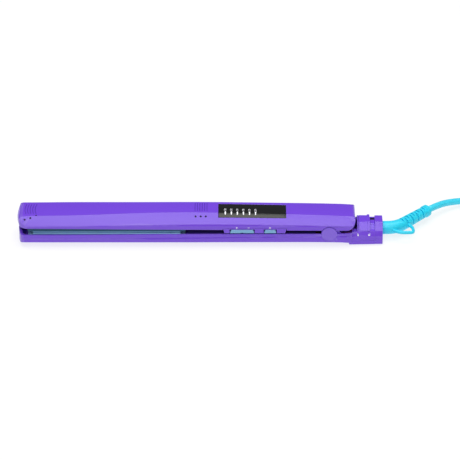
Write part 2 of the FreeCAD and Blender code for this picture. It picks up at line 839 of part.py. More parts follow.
boot_base = rod("boot_base", "boot_radius", "boot_bend_x - 133.6", ("133.6", "0", "cord_axis_z"), "x")
boot_knee = doc.addObject("Part::Sphere", "boot_knee")
boot_knee.setExpression("Radius", bound("boot_radius"))
place(boot_knee, ("boot_bend_x", "0", "cord_axis_z"))
boot_sleeve = doc.addObject("Part::Cone", "boot_sleeve")
boot_sleeve.setExpression("Radius1", bound("boot_radius - 0.05"))
boot_sleeve.setExpression("Radius2", bound("boot_end_radius"))
boot_sleeve.setExpression("Height", bound("boot_length"))
turn = math.radians(cell("boot_turn"))
boot_sleeve.Placement.Rotation = FreeCAD.Rotation(V(0, 0, 1), V(math.cos(turn), math.sin(turn), 0))
place(boot_sleeve, ("boot_bend_x", "0", "cord_axis_z"))
loop_plate = block("loop_plate", ("142", "-8.4", "6.9"), ("155.6", "0.2", "9.5"))
loop_end = rod("loop_end", "4.3", "2.6", ("155.6", "-4.1", "6.9"), "z")
loop_hole = block(
    "loop_hole", ("157.9 - loop_hole", "-4.1 - 3.0", "5"), ("157.9", "-4.1 + 2.6", "11")
)
loop = cut("loop", fuse("loop", loop_plate, loop_end), loop_hole)
node("cord_boot", cut("cord_boot", fuse("cord_boot", boot_base, boot_knee, boot_sleeve, loop), loop_hole))


# ---- cord: straight runs joined by tangent arcs ---------------------------------------------------------
def rounded_path(points):
    """Edges along the route, with an arc at each corner as large as its two runs allow."""
    route = [V(*p) for p in points]
    edges, radii, start = [], [], route[0]
    for before, corner_point, after in zip(route, route[1:], route[2:]):
        into = (corner_point - before).normalize()
        out = (after - corner_point).normalize()
        half_turn = into.getAngle(out) / 2
        run = min(corner_point.distanceToPoint(before), after.distanceToPoint(corner_point))
        radius = 0.45 * run / math.tan(half_turn)
        radii.append(radius)
        first, last = corner_point - into * (0.45 * run), corner_point + out * (0.45 * run)
        inward = (out - into).normalize()
        middle = corner_point + inward * (radius / math.cos(half_turn) - radius)
        edges += [Part.LineSegment(start, first).toShape(), Part.Arc(first, middle, last).toShape()]
        start = last
    edges.append(Part.LineSegment(start, route[-1]).toShape())
    return edges, radii


cord_edges, cord_radii = rounded_path(CORD_ROUTE)
cord_path = Part.Wire(cord_edges)
cord_start, cord_heading = V(*CORD_ROUTE[0]), V(*CORD_ROUTE[1]) - V(*CORD_ROUTE[0])
cord_section = Part.Wire([Part.makeCircle(cell("cord_radius"), cord_start, cord_heading)])
cord_tube = cord_path.makePipeShell([cord_section], True, False)
node("cord", shaped("cord_tube", cord_tube))
tube_volume = math.pi * cell("cord_radius") ** 2 * cord_path.Length
print("cord arc radii", [round(r, 1) for r in cord_radii])
print("cord length", round(cord_path.Length, 1), "volume", round(cord_tube.Volume), "of", round(tube_volume))

# ---- the put-away cord: a tied hank, its tie and the mains plug -----------------------------------------
hank_x, hank_y = cell("hank_x"), cell("hank_y")
hank_half, hank_round, hank_waist = cell("hank_half"), cell("hank_round"), cell("hank_waist")
tie_half = cell("tie_half")
waist_left, waist_right = hank_x - tie_half, hank_x + tie_half


def side_edges(sign):
    """One long side of the hank, from its left end to its right end, drawn in to the tie."""
    stops = [
        V(hank_x - hank_half, hank_y + sign * hank_round, 0),
        V(waist_left, hank_y + sign * hank_waist, 0),
        V(waist_right, hank_y + sign * hank_waist, 0),
        V(hank_x + hank_half, hank_y + sign * hank_round, 0),
    ]
    return [Part.LineSegment(a, b).toShape() for a, b in zip(stops, stops[1:])], stops


far_side, far_stops = side_edges(1)
near_side, near_stops = side_edges(-1)
right_end = Part.Arc(far_stops[-1], V(hank_x + hank_half + hank_round, hank_y, 0), near_stops[-1]).toShape()
left_end = Part.Arc(near_stops[0], V(hank_x - hank_half - hank_round, hank_y, 0), far_stops[0]).toShape()
hank_wire = Part.Wire(Part.__sortEdges__([*far_side, right_end, *near_side, left_end]))
hank_block = Part.Face(hank_wire).extrude(V(0, 0, cell("hank_high")))
lane_y = CORD_ROUTE[-1][1]
tab = 2.7
entry = Part.makeBox(24, 2 * tab, 5.4, V(CORD_ROUTE[-1][0] + 0.05, lane_y - tab, 0))
exit_x = hank_x + hank_half + 18
exit_tab = Part.makeBox(24, 2 * tab, 5.4, V(exit_x - 24, lane_y - tab, 4.2))
tie_outer = Part.makeBox(
    2 * tie_half, 2 * hank_waist + 2, cell("hank_high") + 1.6, V(waist_left, hank_y - hank_waist - 1, 0)
)
thick = cell("tie_thick")
tie_inner = Part.makeBox(
    2 * tie_half, 2 * hank_waist - 0.4, cell("hank_high"), V(waist_left, hank_y - hank_waist + 0.2, thick)
)
tie_ring = tie_outer.cut(tie_inner)
node("cord_hank", shaped("cord_hank_block", hank_block.fuse(entry).fuse(exit_tab).cut(tie_ring)))
node("hank_tie", shaped("hank_tie_band", tie_ring))

plug_z = cell("plug_thick") / 2
relief = doc.addObject("Part::Cone", "plug_relief")
relief.setExpression("Radius1", bound("cord_radius + 0.5"))
relief.setExpression("Radius2", bound("cord_radius + 2.2"))
relief.setExpression("Height", bound("relief_long + 0.5"))
relief.Placement = FreeCAD.Placement(V(exit_x + 0.05, lane_y, plug_z), TURNS["x"])
plug_x = exit_x + cell("relief_long")
plug_half, plug_long = cell("plug_half"), cell("plug_long")
plug_outline = Part.Face(
    Part.makePolygon(
        [
            V(plug_x, lane_y - 6, 0),
            V(plug_x + 9, lane_y - plug_half, 0),
            V(plug_x + plug_long, lane_y - plug_half, 0),
            V(plug_x + plug_long, lane_y + plug_half, 0),
            V(plug_x + 9, lane_y + plug_half, 0),
            V(plug_x, lane_y + 6, 0),
            V(plug_x, lane_y - 6, 0),
        ]
    )
)
plug_block = shaped("plug_block", plug_outline.extrude(V(0, 0, cell("plug_thick"))))
node("plug_body", fuse("plug_body", relief, plug_block))
pins = []
for number, sign in enumerate((-1, 1)):
    pin = rod(f"plug_pin_{number}", "plug_pin_radius", "plug_pin_long", ("0", "0", "0"), "x")
    root = (plug_x + plug_long, lane_y + sign * cell("plug_pin_half"), plug_z)
    for axis, distance in zip("xyz", root, strict=True):
        pin.setExpression(f".Placement.Base.{axis}", str(distance))
    pins.append(pin)
node("plug_pins", group("plug_pins", *pins))

# ---- check and write ------------------------------------------------------------------------------------
doc.recompute()
faults = []
for thing in doc.Objects:
    if "Invalid" in thing.State or "Error" in thing.State:
        faults.append(thing.Name)
for label, thing in nodes.items():
    shape = thing.Shape
    if shape.isNull() or not shape.isValid() or not shape.Solids:
        faults.append(label)
if faults:
    raise SystemExit(f"these objects failed: {faults}")
for label, thing in nodes.items():
    thing.Shape.exportStep(f"parts/{label}.step")
    print(label, len(thing.Shape.Solids), "solids", round(thing.Shape.Volume), "mm3")
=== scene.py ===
import bmesh
import bpy
import math
from mathutils import Matrix, Vector
from mathutils.bvhtree import BVHTree
from mathutils.geometry import barycentric_transform


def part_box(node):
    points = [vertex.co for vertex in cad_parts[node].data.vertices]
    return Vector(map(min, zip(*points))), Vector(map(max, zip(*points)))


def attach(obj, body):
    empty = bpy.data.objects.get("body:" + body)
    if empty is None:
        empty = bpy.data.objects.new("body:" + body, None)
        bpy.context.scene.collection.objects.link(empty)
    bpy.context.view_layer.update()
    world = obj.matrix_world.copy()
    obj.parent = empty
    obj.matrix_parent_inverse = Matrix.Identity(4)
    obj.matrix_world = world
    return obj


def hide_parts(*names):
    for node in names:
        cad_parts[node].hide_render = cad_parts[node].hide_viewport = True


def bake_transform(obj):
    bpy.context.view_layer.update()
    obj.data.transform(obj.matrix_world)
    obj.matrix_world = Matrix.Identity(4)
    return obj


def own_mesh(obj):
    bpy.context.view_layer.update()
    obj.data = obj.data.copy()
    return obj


# A hair straightener lying closed on a pale table, tip to the left, its cord running off to the right.
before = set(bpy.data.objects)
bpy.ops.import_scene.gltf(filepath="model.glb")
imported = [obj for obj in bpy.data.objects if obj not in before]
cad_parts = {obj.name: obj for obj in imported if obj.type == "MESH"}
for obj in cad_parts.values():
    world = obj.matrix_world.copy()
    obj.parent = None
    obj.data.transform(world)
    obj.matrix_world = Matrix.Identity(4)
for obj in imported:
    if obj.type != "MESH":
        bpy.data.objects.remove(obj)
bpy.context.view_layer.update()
scene = bpy.context.scene
MM = 0.001


# ---- Camera -------------------------------------------------------------------------------------------
# A long lens some way off, square to the button side of the iron and a third of the way up to overhead.
def camera_on(target, distance, elevation, lens):
    """A camera on the button side that looks at a point from that height angle."""
    data = bpy.data.cameras.new("studio_camera")
    data.lens = lens
    data.sensor_width = 36
    camera = bpy.data.objects.new("studio_camera", data)
    scene.collection.objects.link(camera)
    out = Vector((0, -math.cos(elevation), math.sin(elevation)))
    camera.location = Vector(target) + out * distance
    camera.rotation_euler = (math.pi / 2 - elevation, 0, 0)
    return camera


scene.camera = camera_on((0.0223, 0, 0.006), 2.1, math.radians(32), 219.8)
scene.view_settings.view_transform = "Standard"


# ---- Table and lights ---------------------------------------------------------------------------------
# A matt white light table that glows faintly, a softbox high in front, another high behind, and a dim grey
# room, so that the slanted faces catch light and the upright faces see the table.
def colour(code, alpha=1.0):
    """A colour written as on a paint chart, as the light amounts that a shader takes."""
    parts = [int(code[k : k + 2], 16) / 255 for k in (1, 3, 5)]
    return (*[p / 12.92 if p <= 0.04045 else ((p + 0.055) / 1.055) ** 2.4 for p in parts], alpha)


def blank_material(name):
    """A material with one Principled shader, its nodes and a function that joins two sockets."""
    material = bpy.data.materials.new(name)
    material.use_nodes = True
    nodes = material.node_tree.nodes
    return material, nodes, material.node_tree.links.new, nodes["Principled BSDF"]


def object_texture(nodes, join, kind, settings, place=None):
    """A texture that lies in the piece's own space, or in the space that a place gives."""
    texture = nodes.new(kind)
    for label, value in settings.items():
        texture.inputs[label].default_value = value
    if place is None:
        place = nodes.new("ShaderNodeTexCoord").outputs["Object"]
    join(place, texture.inputs["Vector"])
    return texture


def value_range(nodes, join, source, low, high):
    """A node that spreads a 0 to 1 value between two others."""
    spread = nodes.new("ShaderNodeMapRange")
    spread.inputs["To Min"].default_value = low
    spread.inputs["To Max"].default_value = high
    join(source, spread.inputs["Value"])
    return spread.outputs["Result"]


def add_piece(name, mesh, material=None):
    """A piece with this mesh in the scene. A material takes the place of the mesh's own ones."""
    piece = bpy.data.objects.new(name, mesh)
    scene.collection.objects.link(piece)
    if material is not None:
        coat(piece, material)
    return piece


def coat(piece, material):
    """Gives the whole of a piece one material."""
    piece.data.materials.clear()
    piece.data.materials.append(material)


def table_top(half):
    """A square sheet, faintly clouded, from its middle to an edge as long as this half side."""
    material, nodes, join, shader = blank_material("pale_table")
    cloud = object_texture(nodes, join, "ShaderNodeTexNoise", {"Scale": 3.0})
    join(value_range(nodes, join, cloud.outputs["Fac"], 0.24, 0.26), shader.inputs["Base Color"])
    shader.inputs["Roughness"].default_value = 0.9
    shader.inputs["Specular IOR Level"].default_value = 0.1
    shader.inputs["Emission Color"].default_value = (1, 1, 1, 1)
    shader.inputs["Emission Strength"].default_value = 0.77
    mesh = bpy.data.meshes.new("table_top")
    corners = [(x * half, y * half, 0) for x, y in ((-1, -1), (1, -1), (1, 1), (-1, 1))]
    mesh.from_pydata(corners, [], [(0, 1, 2, 3)])
    top = add_piece("table_top", mesh, material)


def softbox(name, place, aim, size, power, tint=(1, 1, 1)):
    """A rectangular studio light at a place, turned towards another."""
    data = bpy.data.lights.new(name, "AREA")
    data.shape = "RECTANGLE"
    data.size, data.size_y = size
    data.energy = power
    data.color = tint
    lamp = bpy.data.objects.new(name, data)
    scene.collection.objects.link(lamp)
    lamp.location = place
    lamp.rotation_euler = (Vector(aim) - Vector(place)).to_track_quat("-Z", "Y").to_euler()


table_top(6.0)
softbox("front_softbox", (0.0, -0.84, 1.25), (0, 0, 0), (1.2, 1.2), 11.5, tint=(1.0, 1.0, 0.93))
softbox("top_softbox", (0.0, 0.25, 1.55), (0, 0, 0), (2.0, 0.9), 18.5)
room = bpy.data.worlds.new("dim_room")
room.use_nodes = True
room.node_tree.nodes["Background"].inputs["Color"].default_value = (0.92, 0.94, 1.0, 1)
room.node_tree.nodes["Background"].inputs["Strength"].default_value = 0.2
scene.world = room


# ---- Cord ---------------------------------------------------------------------------------------------
# A round two-core mains lead in turquoise PVC, 5 mm thick. It leaves the boot, sinks to the table and runs
# off to a hank of folded turns, from which it rises into the plug.
CORD_RADIUS = 2.5 * MM
CORD_ROUTE = [
    (171.7, 25.2, 8.2),
    (180.8, 34.3, 7.5),
    (191.7, 41.4, 5.6),
    (204.9, 46.2, 3.6),
    (219.7, 48.1, 2.6),
    (232.5, 48.3, 2.5),
    (243.8, 48.3, 2.5),
]
HANK_MIDDLE = Vector((308, 23.3))
HANK_HALF = 48
# Half the gap between the two inner runs, the step from lane to lane, and the same at the tied waist.
LANE_FIRST, LANE_STEP, WAIST_FIRST, WAIST_STEP = 15, 5, 2.7, 5.2
LAYER_FIRST, LAYER_STEP, WAIST_LIFT = 2.5, 5, 0.8
# How much farther out a fold's control points lie than its lane, since the spline cuts their corners.
FOLD_BULGE = 1.035
# The lane of each fold, from the middle outwards, and its layer.
HANK_FOLDS = [(2, 0), (1, 0), (0, 0), (0, 1), (1, 1), (2, 1)]


def smooth_step(t):
    """A value from 0 to 1 that starts and stops gently."""
    t = min(max(t, 0), 1)
    return t * t * (3 - 2 * t)


def hank_run(lane, layer, side):
    """The points of one long run, drawn in at its middle, where it also lies on the tie."""
    points = []
    for share in (-1, -0.5, 0, 0.5, 1):
        spread = smooth_step(abs(share))
        waist, lane_middle = WAIST_FIRST + WAIST_STEP * lane, LANE_FIRST + LANE_STEP * lane
        offset = waist * (1 - spread) + lane_middle * spread
        height = LAYER_FIRST + LAYER_STEP * layer + WAIST_LIFT * (1 - smooth_step(abs(share) * 2))
        points.append((HANK_MIDDLE.x + side * share * HANK_HALF, HANK_MIDDLE.y + side * offset, height))
    return points


def hank_fold(first, last, side, dip=0.0):
    """The points round one end, from a lane and layer to the next."""
    points = []
    for step in range(1, 6):
        t = step / 6
        angle = math.pi * t
        lane = first[0] + (last[0] - first[0]) * t
        radius = FOLD_BULGE * (LANE_FIRST + LANE_STEP * lane - dip * math.sin(angle))
        height = LAYER_FIRST + LAYER_STEP * (first[1] + (last[1] - first[1]) * smooth_step(t))
        x = HANK_MIDDLE.x + side * (HANK_HALF + radius * math.sin(angle))
        points.append((x, HANK_MIDDLE.y + side * radius * math.cos(angle), height))
    return points


def hank_points():
    """The points of the whole hank, fold by fold."""
    points = []
    for number, fold in enumerate(HANK_FOLDS):
        points += hank_run(*fold, 1)
        if number + 1 < len(HANK_FOLDS):
            following = HANK_FOLDS[number + 1]
            points += hank_fold(fold, fold, 1)
            points += hank_run(*fold, -1)
            points += hank_fold(fold, following, -1, dip=3.0 if following[1] != fold[1] else 0.0)
    return points


def line_through(name, points, steps):
    """Points along the smooth spline whose control points these are, in metres."""
    curve = bpy.data.curves.new(name, "CURVE")
    curve.dimensions = "3D"
    spline = curve.splines.new("NURBS")
    spline.points.add(len(points) - 1)
    for knot, point in zip(spline.points, points, strict=True):
        knot.co = (point[0] * MM, point[1] * MM, point[2] * MM, 1)
    spline.order_u = 3
    spline.use_endpoint_u = True
    spline.resolution_u = steps
    curve.resolution_u = steps
    holder = bpy.data.objects.new(name, curve)
    scene.collection.objects.link(holder)
    ready = holder.evaluated_get(bpy.context.evaluated_depsgraph_get())
    mesh = bpy.data.meshes.new_from_object(ready)
    line = [v.co.copy() for v in mesh.vertices]
    bpy.data.objects.remove(holder)
    bpy.data.meshes.remove(mesh)
    return line


def rings_along(line, sides, radius_at, high=1.0):
    """Rings of points square to a line. The radius may change along it and round it."""
    rings, side = [], None
    for k, middle in enumerate(line):
        ahead = (line[min(k + 1, len(line) - 1)] - line[max(k - 1, 0)]).normalized()
        if side is None:
            side = Vector((0, 0, 1)).cross(ahead).normalized()
        side = (side - ahead * side.dot(ahead)).normalized()
        up = ahead.cross(side)
        ring = []
        for n in range(sides):
            turn = 2 * math.pi * n / sides
            radius = radius_at(k, math.degrees(turn))
            ring.append(middle + up * math.cos(turn) * radius * high - side * math.sin(turn) * radius)
        rings.append(ring)
    return rings


def span_rows(shape, rows):
    """Faces between rows of points that close on themselves. A row of one point is a pole."""
    for a, b in zip(rows, rows[1:]):
        sides = max(len(a), len(b))
        for n in range(sides):
            m = (n + 1) % sides
            ring = [a[n % len(a)], a[m % len(a)], b[m % len(b)], b[n % len(b)]]
            shape.faces.new(list(dict.fromkeys(ring)))


def cap_rows(shape, rows):
    shape.faces.new(rows[0])
    shape.faces.new(list(reversed(rows[-1])))


def mesh_of(shape, name, outwards=False):
    """The plain mesh of a shape, whose faces may first be turned outwards."""
    if outwards:
        bmesh.ops.recalc_face_normals(shape, faces=shape.faces)
    mesh = bpy.data.meshes.new(name)
    shape.to_mesh(mesh)
    shape.free()
    return mesh


def skin_of_rings(name, rings):
    """A closed mesh over rings of equal size, with its ends capped, facing outwards."""
    shape = bmesh.new()
    rows = [[shape.verts.new(p) for p in ring] for ring in rings]
    span_rows(shape, rows)
    cap_rows(shape, rows)
    mesh = mesh_of(shape, name, outwards=True)
    mesh.shade_smooth()
    return mesh


def blended(nodes, join, factor, first, last):
    """A colour between two others. Each is a fixed colour or comes from a socket."""
    mix = nodes.new("ShaderNodeMix")
    mix.data_type = "RGBA"
    join(factor, mix.inputs["Factor"])
    for label, given in (("A", first), ("B", last)):
        if isinstance(given, tuple):
            mix.inputs[label].default_value = given
        else:
            join(given, mix.inputs[label])
    return mix.outputs["Result"]


def maths(nodes, join, operation, *values):
    """The result of a sum whose values are plain numbers or come from sockets."""
    node = nodes.new("ShaderNodeMath")
    node.operation = operation
    for place, given in zip(node.inputs, values):
        if isinstance(given, float):
            place.default_value = given
        else:
            join(given, place)
    return node.outputs[0]


def add_bump(nodes, join, shader, height, strength, relief):
    """Raises a shader's surface by a height map. The relief is its depth in millimetres."""
    bump = nodes.new("ShaderNodeBump")
    bump.inputs["Strength"].default_value = strength
    bump.inputs["Distance"].default_value = relief * MM
    join(height, bump.inputs["Height"])
    join(bump.outputs["Normal"], shader.inputs["Normal"])


def build_moulded_skin():
    """The group that every moulded plastic shares: faint clouding of the colour, a fine spark-eroded grain,
    smears where hands polish it, and paler worn edges where the mesh marks them."""
    tree = bpy.data.node_groups.new("moulded_skin", "ShaderNodeTree")
    face = tree.interface
    for label in ("Colour", "Deep colour"):
        face.new_socket(label, in_out="INPUT", socket_type="NodeSocketColor")
    for label in ("Grain size", "Roughness", "Smears", "Wear"):
        face.new_socket(label, in_out="INPUT", socket_type="NodeSocketFloat")
    for label, kind in (("Colour", "Color"), ("Roughness", "Float"), ("Height", "Float")):
        face.new_socket(label, in_out="OUTPUT", socket_type=f"NodeSocket{kind}")
    nodes, join = tree.nodes, tree.links.new
    given, result = nodes.new("NodeGroupInput"), nodes.new("NodeGroupOutput")
    place = nodes.new("ShaderNodeTexCoord").outputs["Object"]
    noise = "ShaderNodeTexNoise"
    cloud = object_texture(nodes, join, noise, {"Scale": 22, "Detail": 3}, place)
    smear = object_texture(nodes, join, noise, {"Scale": 110, "Detail": 6, "Distortion": 1.2}, place)
    grain = object_texture(nodes, join, noise, {"Detail": 2}, place)
    join(given.outputs["Grain size"], grain.inputs["Scale"])
    cloudy = value_range(nodes, join, cloud.outputs["Fac"], 0.0, 0.7)
    depth = blended(nodes, join, cloudy, given.outputs["Colour"], given.outputs["Deep colour"])
    worn = nodes.new("ShaderNodeAttribute")
    worn.attribute_name = "worn"
    patchy = maths(nodes, join, "MULTIPLY", worn.outputs["Fac"], smear.outputs["Fac"])
    amount = maths(nodes, join, "MULTIPLY", patchy, given.outputs["Wear"])
    join(blended(nodes, join, amount, depth, (0.8, 0.78, 0.86, 1)), result.inputs["Colour"])
    smears, plain = given.outputs["Smears"], given.outputs["Roughness"]
    rough = maths(nodes, join, "MULTIPLY_ADD", smear.outputs["Fac"], smears, plain)
    join(rough, result.inputs["Roughness"])
    join(grain.outputs["Fac"], result.inputs["Height"])
    return tree


moulded_skin = build_moulded_skin()


def moulded(name, main, deep, roughness, grain=2200.0, relief=0.02, smears=0.06, wear=0.2, ior=1.5):
    """A moulded plastic or rubber with the shared skin. The relief is the grain's depth in millimetres."""
    material, nodes, join, shader = blank_material(name)
    skin = nodes.new("ShaderNodeGroup")
    skin.node_tree = moulded_skin
    skin.inputs["Colour"].default_value = colour(main)
    skin.inputs["Deep colour"].default_value = colour(deep)
    skin.inputs["Grain size"].default_value = grain
    skin.inputs["Roughness"].default_value = roughness
    skin.inputs["Smears"].default_value = smears
    skin.inputs["Wear"].default_value = wear
    join(skin.outputs["Colour"], shader.inputs["Base Color"])
    join(skin.outputs["Roughness"], shader.inputs["Roughness"])
    add_bump(nodes, join, shader, skin.outputs["Height"], 0.5, relief)
    shader.inputs["IOR"].default_value = ior
    return material


turquoise_pvc = moulded("turquoise_pvc", "#46dcf6", "#34d0f0", 0.34, grain=1500, relief=0.02, wear=0)
PLUG_START = HANK_MIDDLE.x + HANK_HALF + 18
PLUG_Y, PLUG_Z = 48.3, 6.85
PLUG_AXIS = Vector((PLUG_START, PLUG_Y, PLUG_Z))
cord_controls = CORD_ROUTE + hank_points() + [(366, PLUG_Y, 7.0), (PLUG_START + 6, PLUG_Y, PLUG_Z)]
cord_line = line_through("cord_centreline", cord_controls, 8)
cord_mesh = skin_of_rings("mains_cord", rings_along(cord_line, 20, lambda k, turn: CORD_RADIUS))
mains_cord = add_piece("mains_cord", cord_mesh, turquoise_pvc)
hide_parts("cord", "cord_hank")
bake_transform(mains_cord)

# ---- Cord boot ----------------------------------------------------------------------------------------
# A soft turquoise boot moulded over the swivel and the start of the cord. Its sleeve is slit in staggered
# rows so that it bends, and a loop for a hook stands off its elbow.
BOOT_BEND = Vector((146.5, 0, 8.2))
SLEEVE = Vector((1, 1, 0)).normalized()
SLIT_FIRST, SLIT_PITCH, SLIT_WIDE, SLIT_DEEP = 5.2, 2.95, 1.1, 1.35
SLITS = 9
SLEEVE_RADIUS, SLEEVE_TAPER, END_ROUNDING = 4.95, 0.85, 0.45
RIM_START, RIM_HIGH, SLEEVE_LONG = 31.4, 0.45, 35.0
# The loop's route seen from above, its radius, and how much taller than wide its wire is.
LOOP_ROUTE = (
    (141, -1.2),
    (146, -5.6),
    (150, -7.2),
    (155.5, -7.25),
    (158.9, -6.9),
    (159.2, -3.6),
    (158.6, 0.5),
    (155.0, 4.6),
    (153.0, 7.5),
)
LOOP_RADIUS, LOOP_STRETCH = 1.15, 1.15


def boot_rows():
    """Distances along the boot where its mesh needs a ring, with the slit that each lies in, if any."""
    rows = [(d, None) for d in (-15, -14.6, -13, -11, -9)]
    rows += [(-9 + 1.15 * n, None) for n in range(1, 12)]
    for number in range(SLITS):
        start = SLIT_FIRST + number * SLIT_PITCH
        rows += [(start - 0.06, None), (start, number), (start + SLIT_WIDE, number)]
        rows += [(start + SLIT_WIDE + 0.06, None)]
    rows += [(RIM_START, None), (RIM_START + 0.3, None), (SLEEVE_LONG - 0.5, None), (SLEEVE_LONG, None)]
    return sorted(rows, key=lambda row: row[0])


def boot_line_at(distance):
    """The boot's centreline: straight out of the collar, then round an elbow of 9 mm and along the sleeve."""
    reach = 7.0
    if distance <= -reach:
        return BOOT_BEND + Vector((distance, 0, 0))
    if distance >= reach:
        return BOOT_BEND + SLEEVE * distance
    t = (distance + reach) / (2 * reach)
    first, last = BOOT_BEND - Vector((reach, 0, 0)), BOOT_BEND + SLEEVE * reach
    return first * (1 - t) ** 2 + BOOT_BEND * 2 * t * (1 - t) + last * t * t


def in_slit(number, turn):
    """Whether a direction round the sleeve is cut by that slit. Odd slits are cut at the sides."""
    spans = ((-35, 25), (145, 205)) if number % 2 == 0 else ((5, 110), (185, 290))
    return any(low <= turn <= high or low <= turn - 360 <= high for low, high in spans)


def boot_radius(rows):
    """The function that gives the boot's radius at a ring and a direction round it."""
    def radius_at(k, turn):
        distance, slit = rows[k]
        share = max(distance, 0) / SLEEVE_LONG
        radius = SLEEVE_RADIUS - SLEEVE_TAPER * share
        if distance < -14.8 or distance > SLEEVE_LONG - 0.2:
            radius -= END_ROUNDING
        elif RIM_START + 0.1 < distance:
            radius += RIM_HIGH
        if slit is not None and in_slit(slit, turn):
            radius -= SLIT_DEEP
        return radius * MM

    return radius_at


def union(piece, other):
    """One watertight piece from two that overlap."""
    step = piece.modifiers.new("join", "BOOLEAN")
    step.operation = "UNION"
    step.solver = "EXACT"
    step.object = other
    applied(piece)
    bpy.data.objects.remove(other)
    return piece


def applied(piece):
    """The piece with its modifiers turned into plain mesh."""
    bpy.context.view_layer.update()
    graph = bpy.context.evaluated_depsgraph_get()
    ready = piece.evaluated_get(graph)
    mesh = bpy.data.meshes.new_from_object(ready, preserve_all_data_layers=True, depsgraph=graph)
    old = piece.data
    piece.modifiers.clear()
    piece.data = mesh
    mesh.name = old.name
    bpy.data.meshes.remove(old)
    return piece


def boot_piece():
    """The slit sleeve and its loop, joined into one."""
    rows = boot_rows()
    line = [boot_line_at(distance) * MM for distance, _ in rows]
    sleeve = add_piece("boot_sleeve", skin_of_rings("boot_sleeve", rings_along(line, 72, boot_radius(rows))))
    loop_line = line_through("loop_line", [(x, y, BOOT_BEND.z) for x, y in LOOP_ROUTE], 6)
    loop_rings = rings_along(loop_line, 16, lambda k, turn: LOOP_RADIUS * MM, LOOP_STRETCH)
    return union(sleeve, add_piece("boot_loop", skin_of_rings("boot_loop", loop_rings)))


turquoise_rubber = moulded("turquoise_rubber", "#30def8", "#20ccee", 0.36, grain=1800, relief=0.03, wear=0)
boot = boot_piece()
boot.name = "slit_boot"
coat(boot, turquoise_rubber)
boot.data.set_sharp_from_angle(angle=math.radians(38))
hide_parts("cord_boot")
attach(boot, "cord_swivel")

# ---- Hank tie -----------------------------------------------------------------------------------------
# A hook-and-loop strap woven of dark grey nylon. It goes once round the waist of the hank and holds itself
# shut where it meets.
TIE_LOW, TIE_HIGH, TIE_THICK, TIE_WIDE, TIE_HALF = 0.0, 11.9, 0.8, 17.0, 16.6


def woven(name, main, deep, pitch):
    """A woven strap: two sets of yarns that pass over and under."""
    material, nodes, join, shader = blank_material(name)
    yarns = []
    for direction in ("X", "Y"):
        yarn = object_texture(nodes, join, "ShaderNodeTexWave", {"Scale": pitch, "Distortion": 0.4})
        yarn.bands_direction = direction
        yarns.append(yarn.outputs["Fac"])
    cross = maths(nodes, join, "MULTIPLY", *yarns)
    join(blended(nodes, join, cross, colour(deep), colour(main)), shader.inputs["Base Color"])
    add_bump(nodes, join, shader, cross, 0.6, 0.12)
    shader.inputs["Roughness"].default_value = 0.85
    shader.inputs["Sheen Weight"].default_value = 0.3
    return material


def rounded_band(name, half_y, low, high, thick, half_x, middle):
    """A flat strap bent into a rounded rectangle round the X direction."""
    bends = []
    round_off = 4.0
    corners = ((1, 1, 0), (-1, 1, 90), (-1, -1, 180), (1, -1, 270))
    for side, up, first in corners:
        centre_y = side * (half_y - round_off)
        centre_z = (high - round_off) if up > 0 else (low + round_off)
        for step in range(7):
            angle = math.radians(first + 15 * step)
            bends.append((centre_y, centre_z, math.cos(angle), math.sin(angle)))
    shape = bmesh.new()
    loops = []
    for x, reduce in ((-half_x, 0.25), (-half_x + 0.3, 0), (half_x - 0.3, 0), (half_x, 0.25)):
        for inner in (False, True):
            radius = round_off - (thick - reduce if inner else reduce)
            spots = [(middle.x + x, middle.y + cy + c * radius, cz + s * radius) for cy, cz, c, s in bends]
            loops.append([shape.verts.new(Vector(spot) * MM) for spot in spots])
    outer, inner = loops[0::2], loops[1::2]
    span_rows(shape, [inner[0], *outer, *reversed(inner)])
    bmesh.ops.remove_doubles(shape, verts=shape.verts, dist=1e-7)
    mesh = mesh_of(shape, name, outwards=True)
    mesh.shade_smooth()
    mesh.set_sharp_from_angle(angle=math.radians(50))
    return mesh


tie_cloth = woven("tie_cloth", "#3c3c42", "#1c1c20", 900)
tie_mesh = rounded_band("hook_tie", TIE_HALF, TIE_LOW, TIE_HIGH, TIE_THICK, TIE_WIDE / 2, HANK_MIDDLE)
hook_tie = add_piece("hook_tie", tie_mesh, tie_cloth)
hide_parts("hank_tie")
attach(hook_tie, "root")

# ---- Mains plug ---------------------------------------------------------------------------------------
# A flat two-pin plug moulded on the cord in the same turquoise, with a ribbed neck and round brass pins
# that are sleeved for half their length.
PLUG_LONG, NECK_LONG = 26.0, 22.0


def turned(name, profile, sides, centre, axis="X"):
    """A solid of revolution from (distance along, radius) pairs, its poles closed."""
    shape = bmesh.new()
    rows = []
    for along, radius in profile:
        if radius <= 1e-6:
            rows.append([shape.verts.new((along * MM, 0, 0))])
            continue
        angles = [2 * math.pi * n / sides for n in range(sides)]
        ring = [(along * MM, radius * MM * math.cos(a), radius * MM * math.sin(a)) for a in angles]
        rows.append([shape.verts.new(spot) for spot in ring])
    span_rows(shape, rows)
    mesh = mesh_of(shape, name, outwards=True)
    if axis == "Y":
        mesh.transform(Matrix.Rotation(math.pi / 2, 4, "Z"))
    if axis == "Z":
        mesh.transform(Matrix.Rotation(-math.pi / 2, 4, "Y"))
    mesh.transform(Matrix.Translation(Vector(centre) * MM))
    mesh.shade_smooth()
    mesh.set_sharp_from_angle(angle=math.radians(35))
    return mesh


def neck_profile():
    """The neck from the cord to the plug, with a groove between each two ribs."""
    profile = [(0, 0), (0, 2.75), (0.4, 3.05)]
    for groove in range(5):
        start = 2.2 + 3.2 * groove
        radius = 3.1 + 0.22 * groove
        floor = radius - 0.75
        profile += [(start, radius), (start + 0.2, floor), (start + 1.2, floor), (start + 1.4, radius)]
    return [*profile, (NECK_LONG, 4.6), (NECK_LONG + 3, 5.2), (NECK_LONG + 3, 0)]


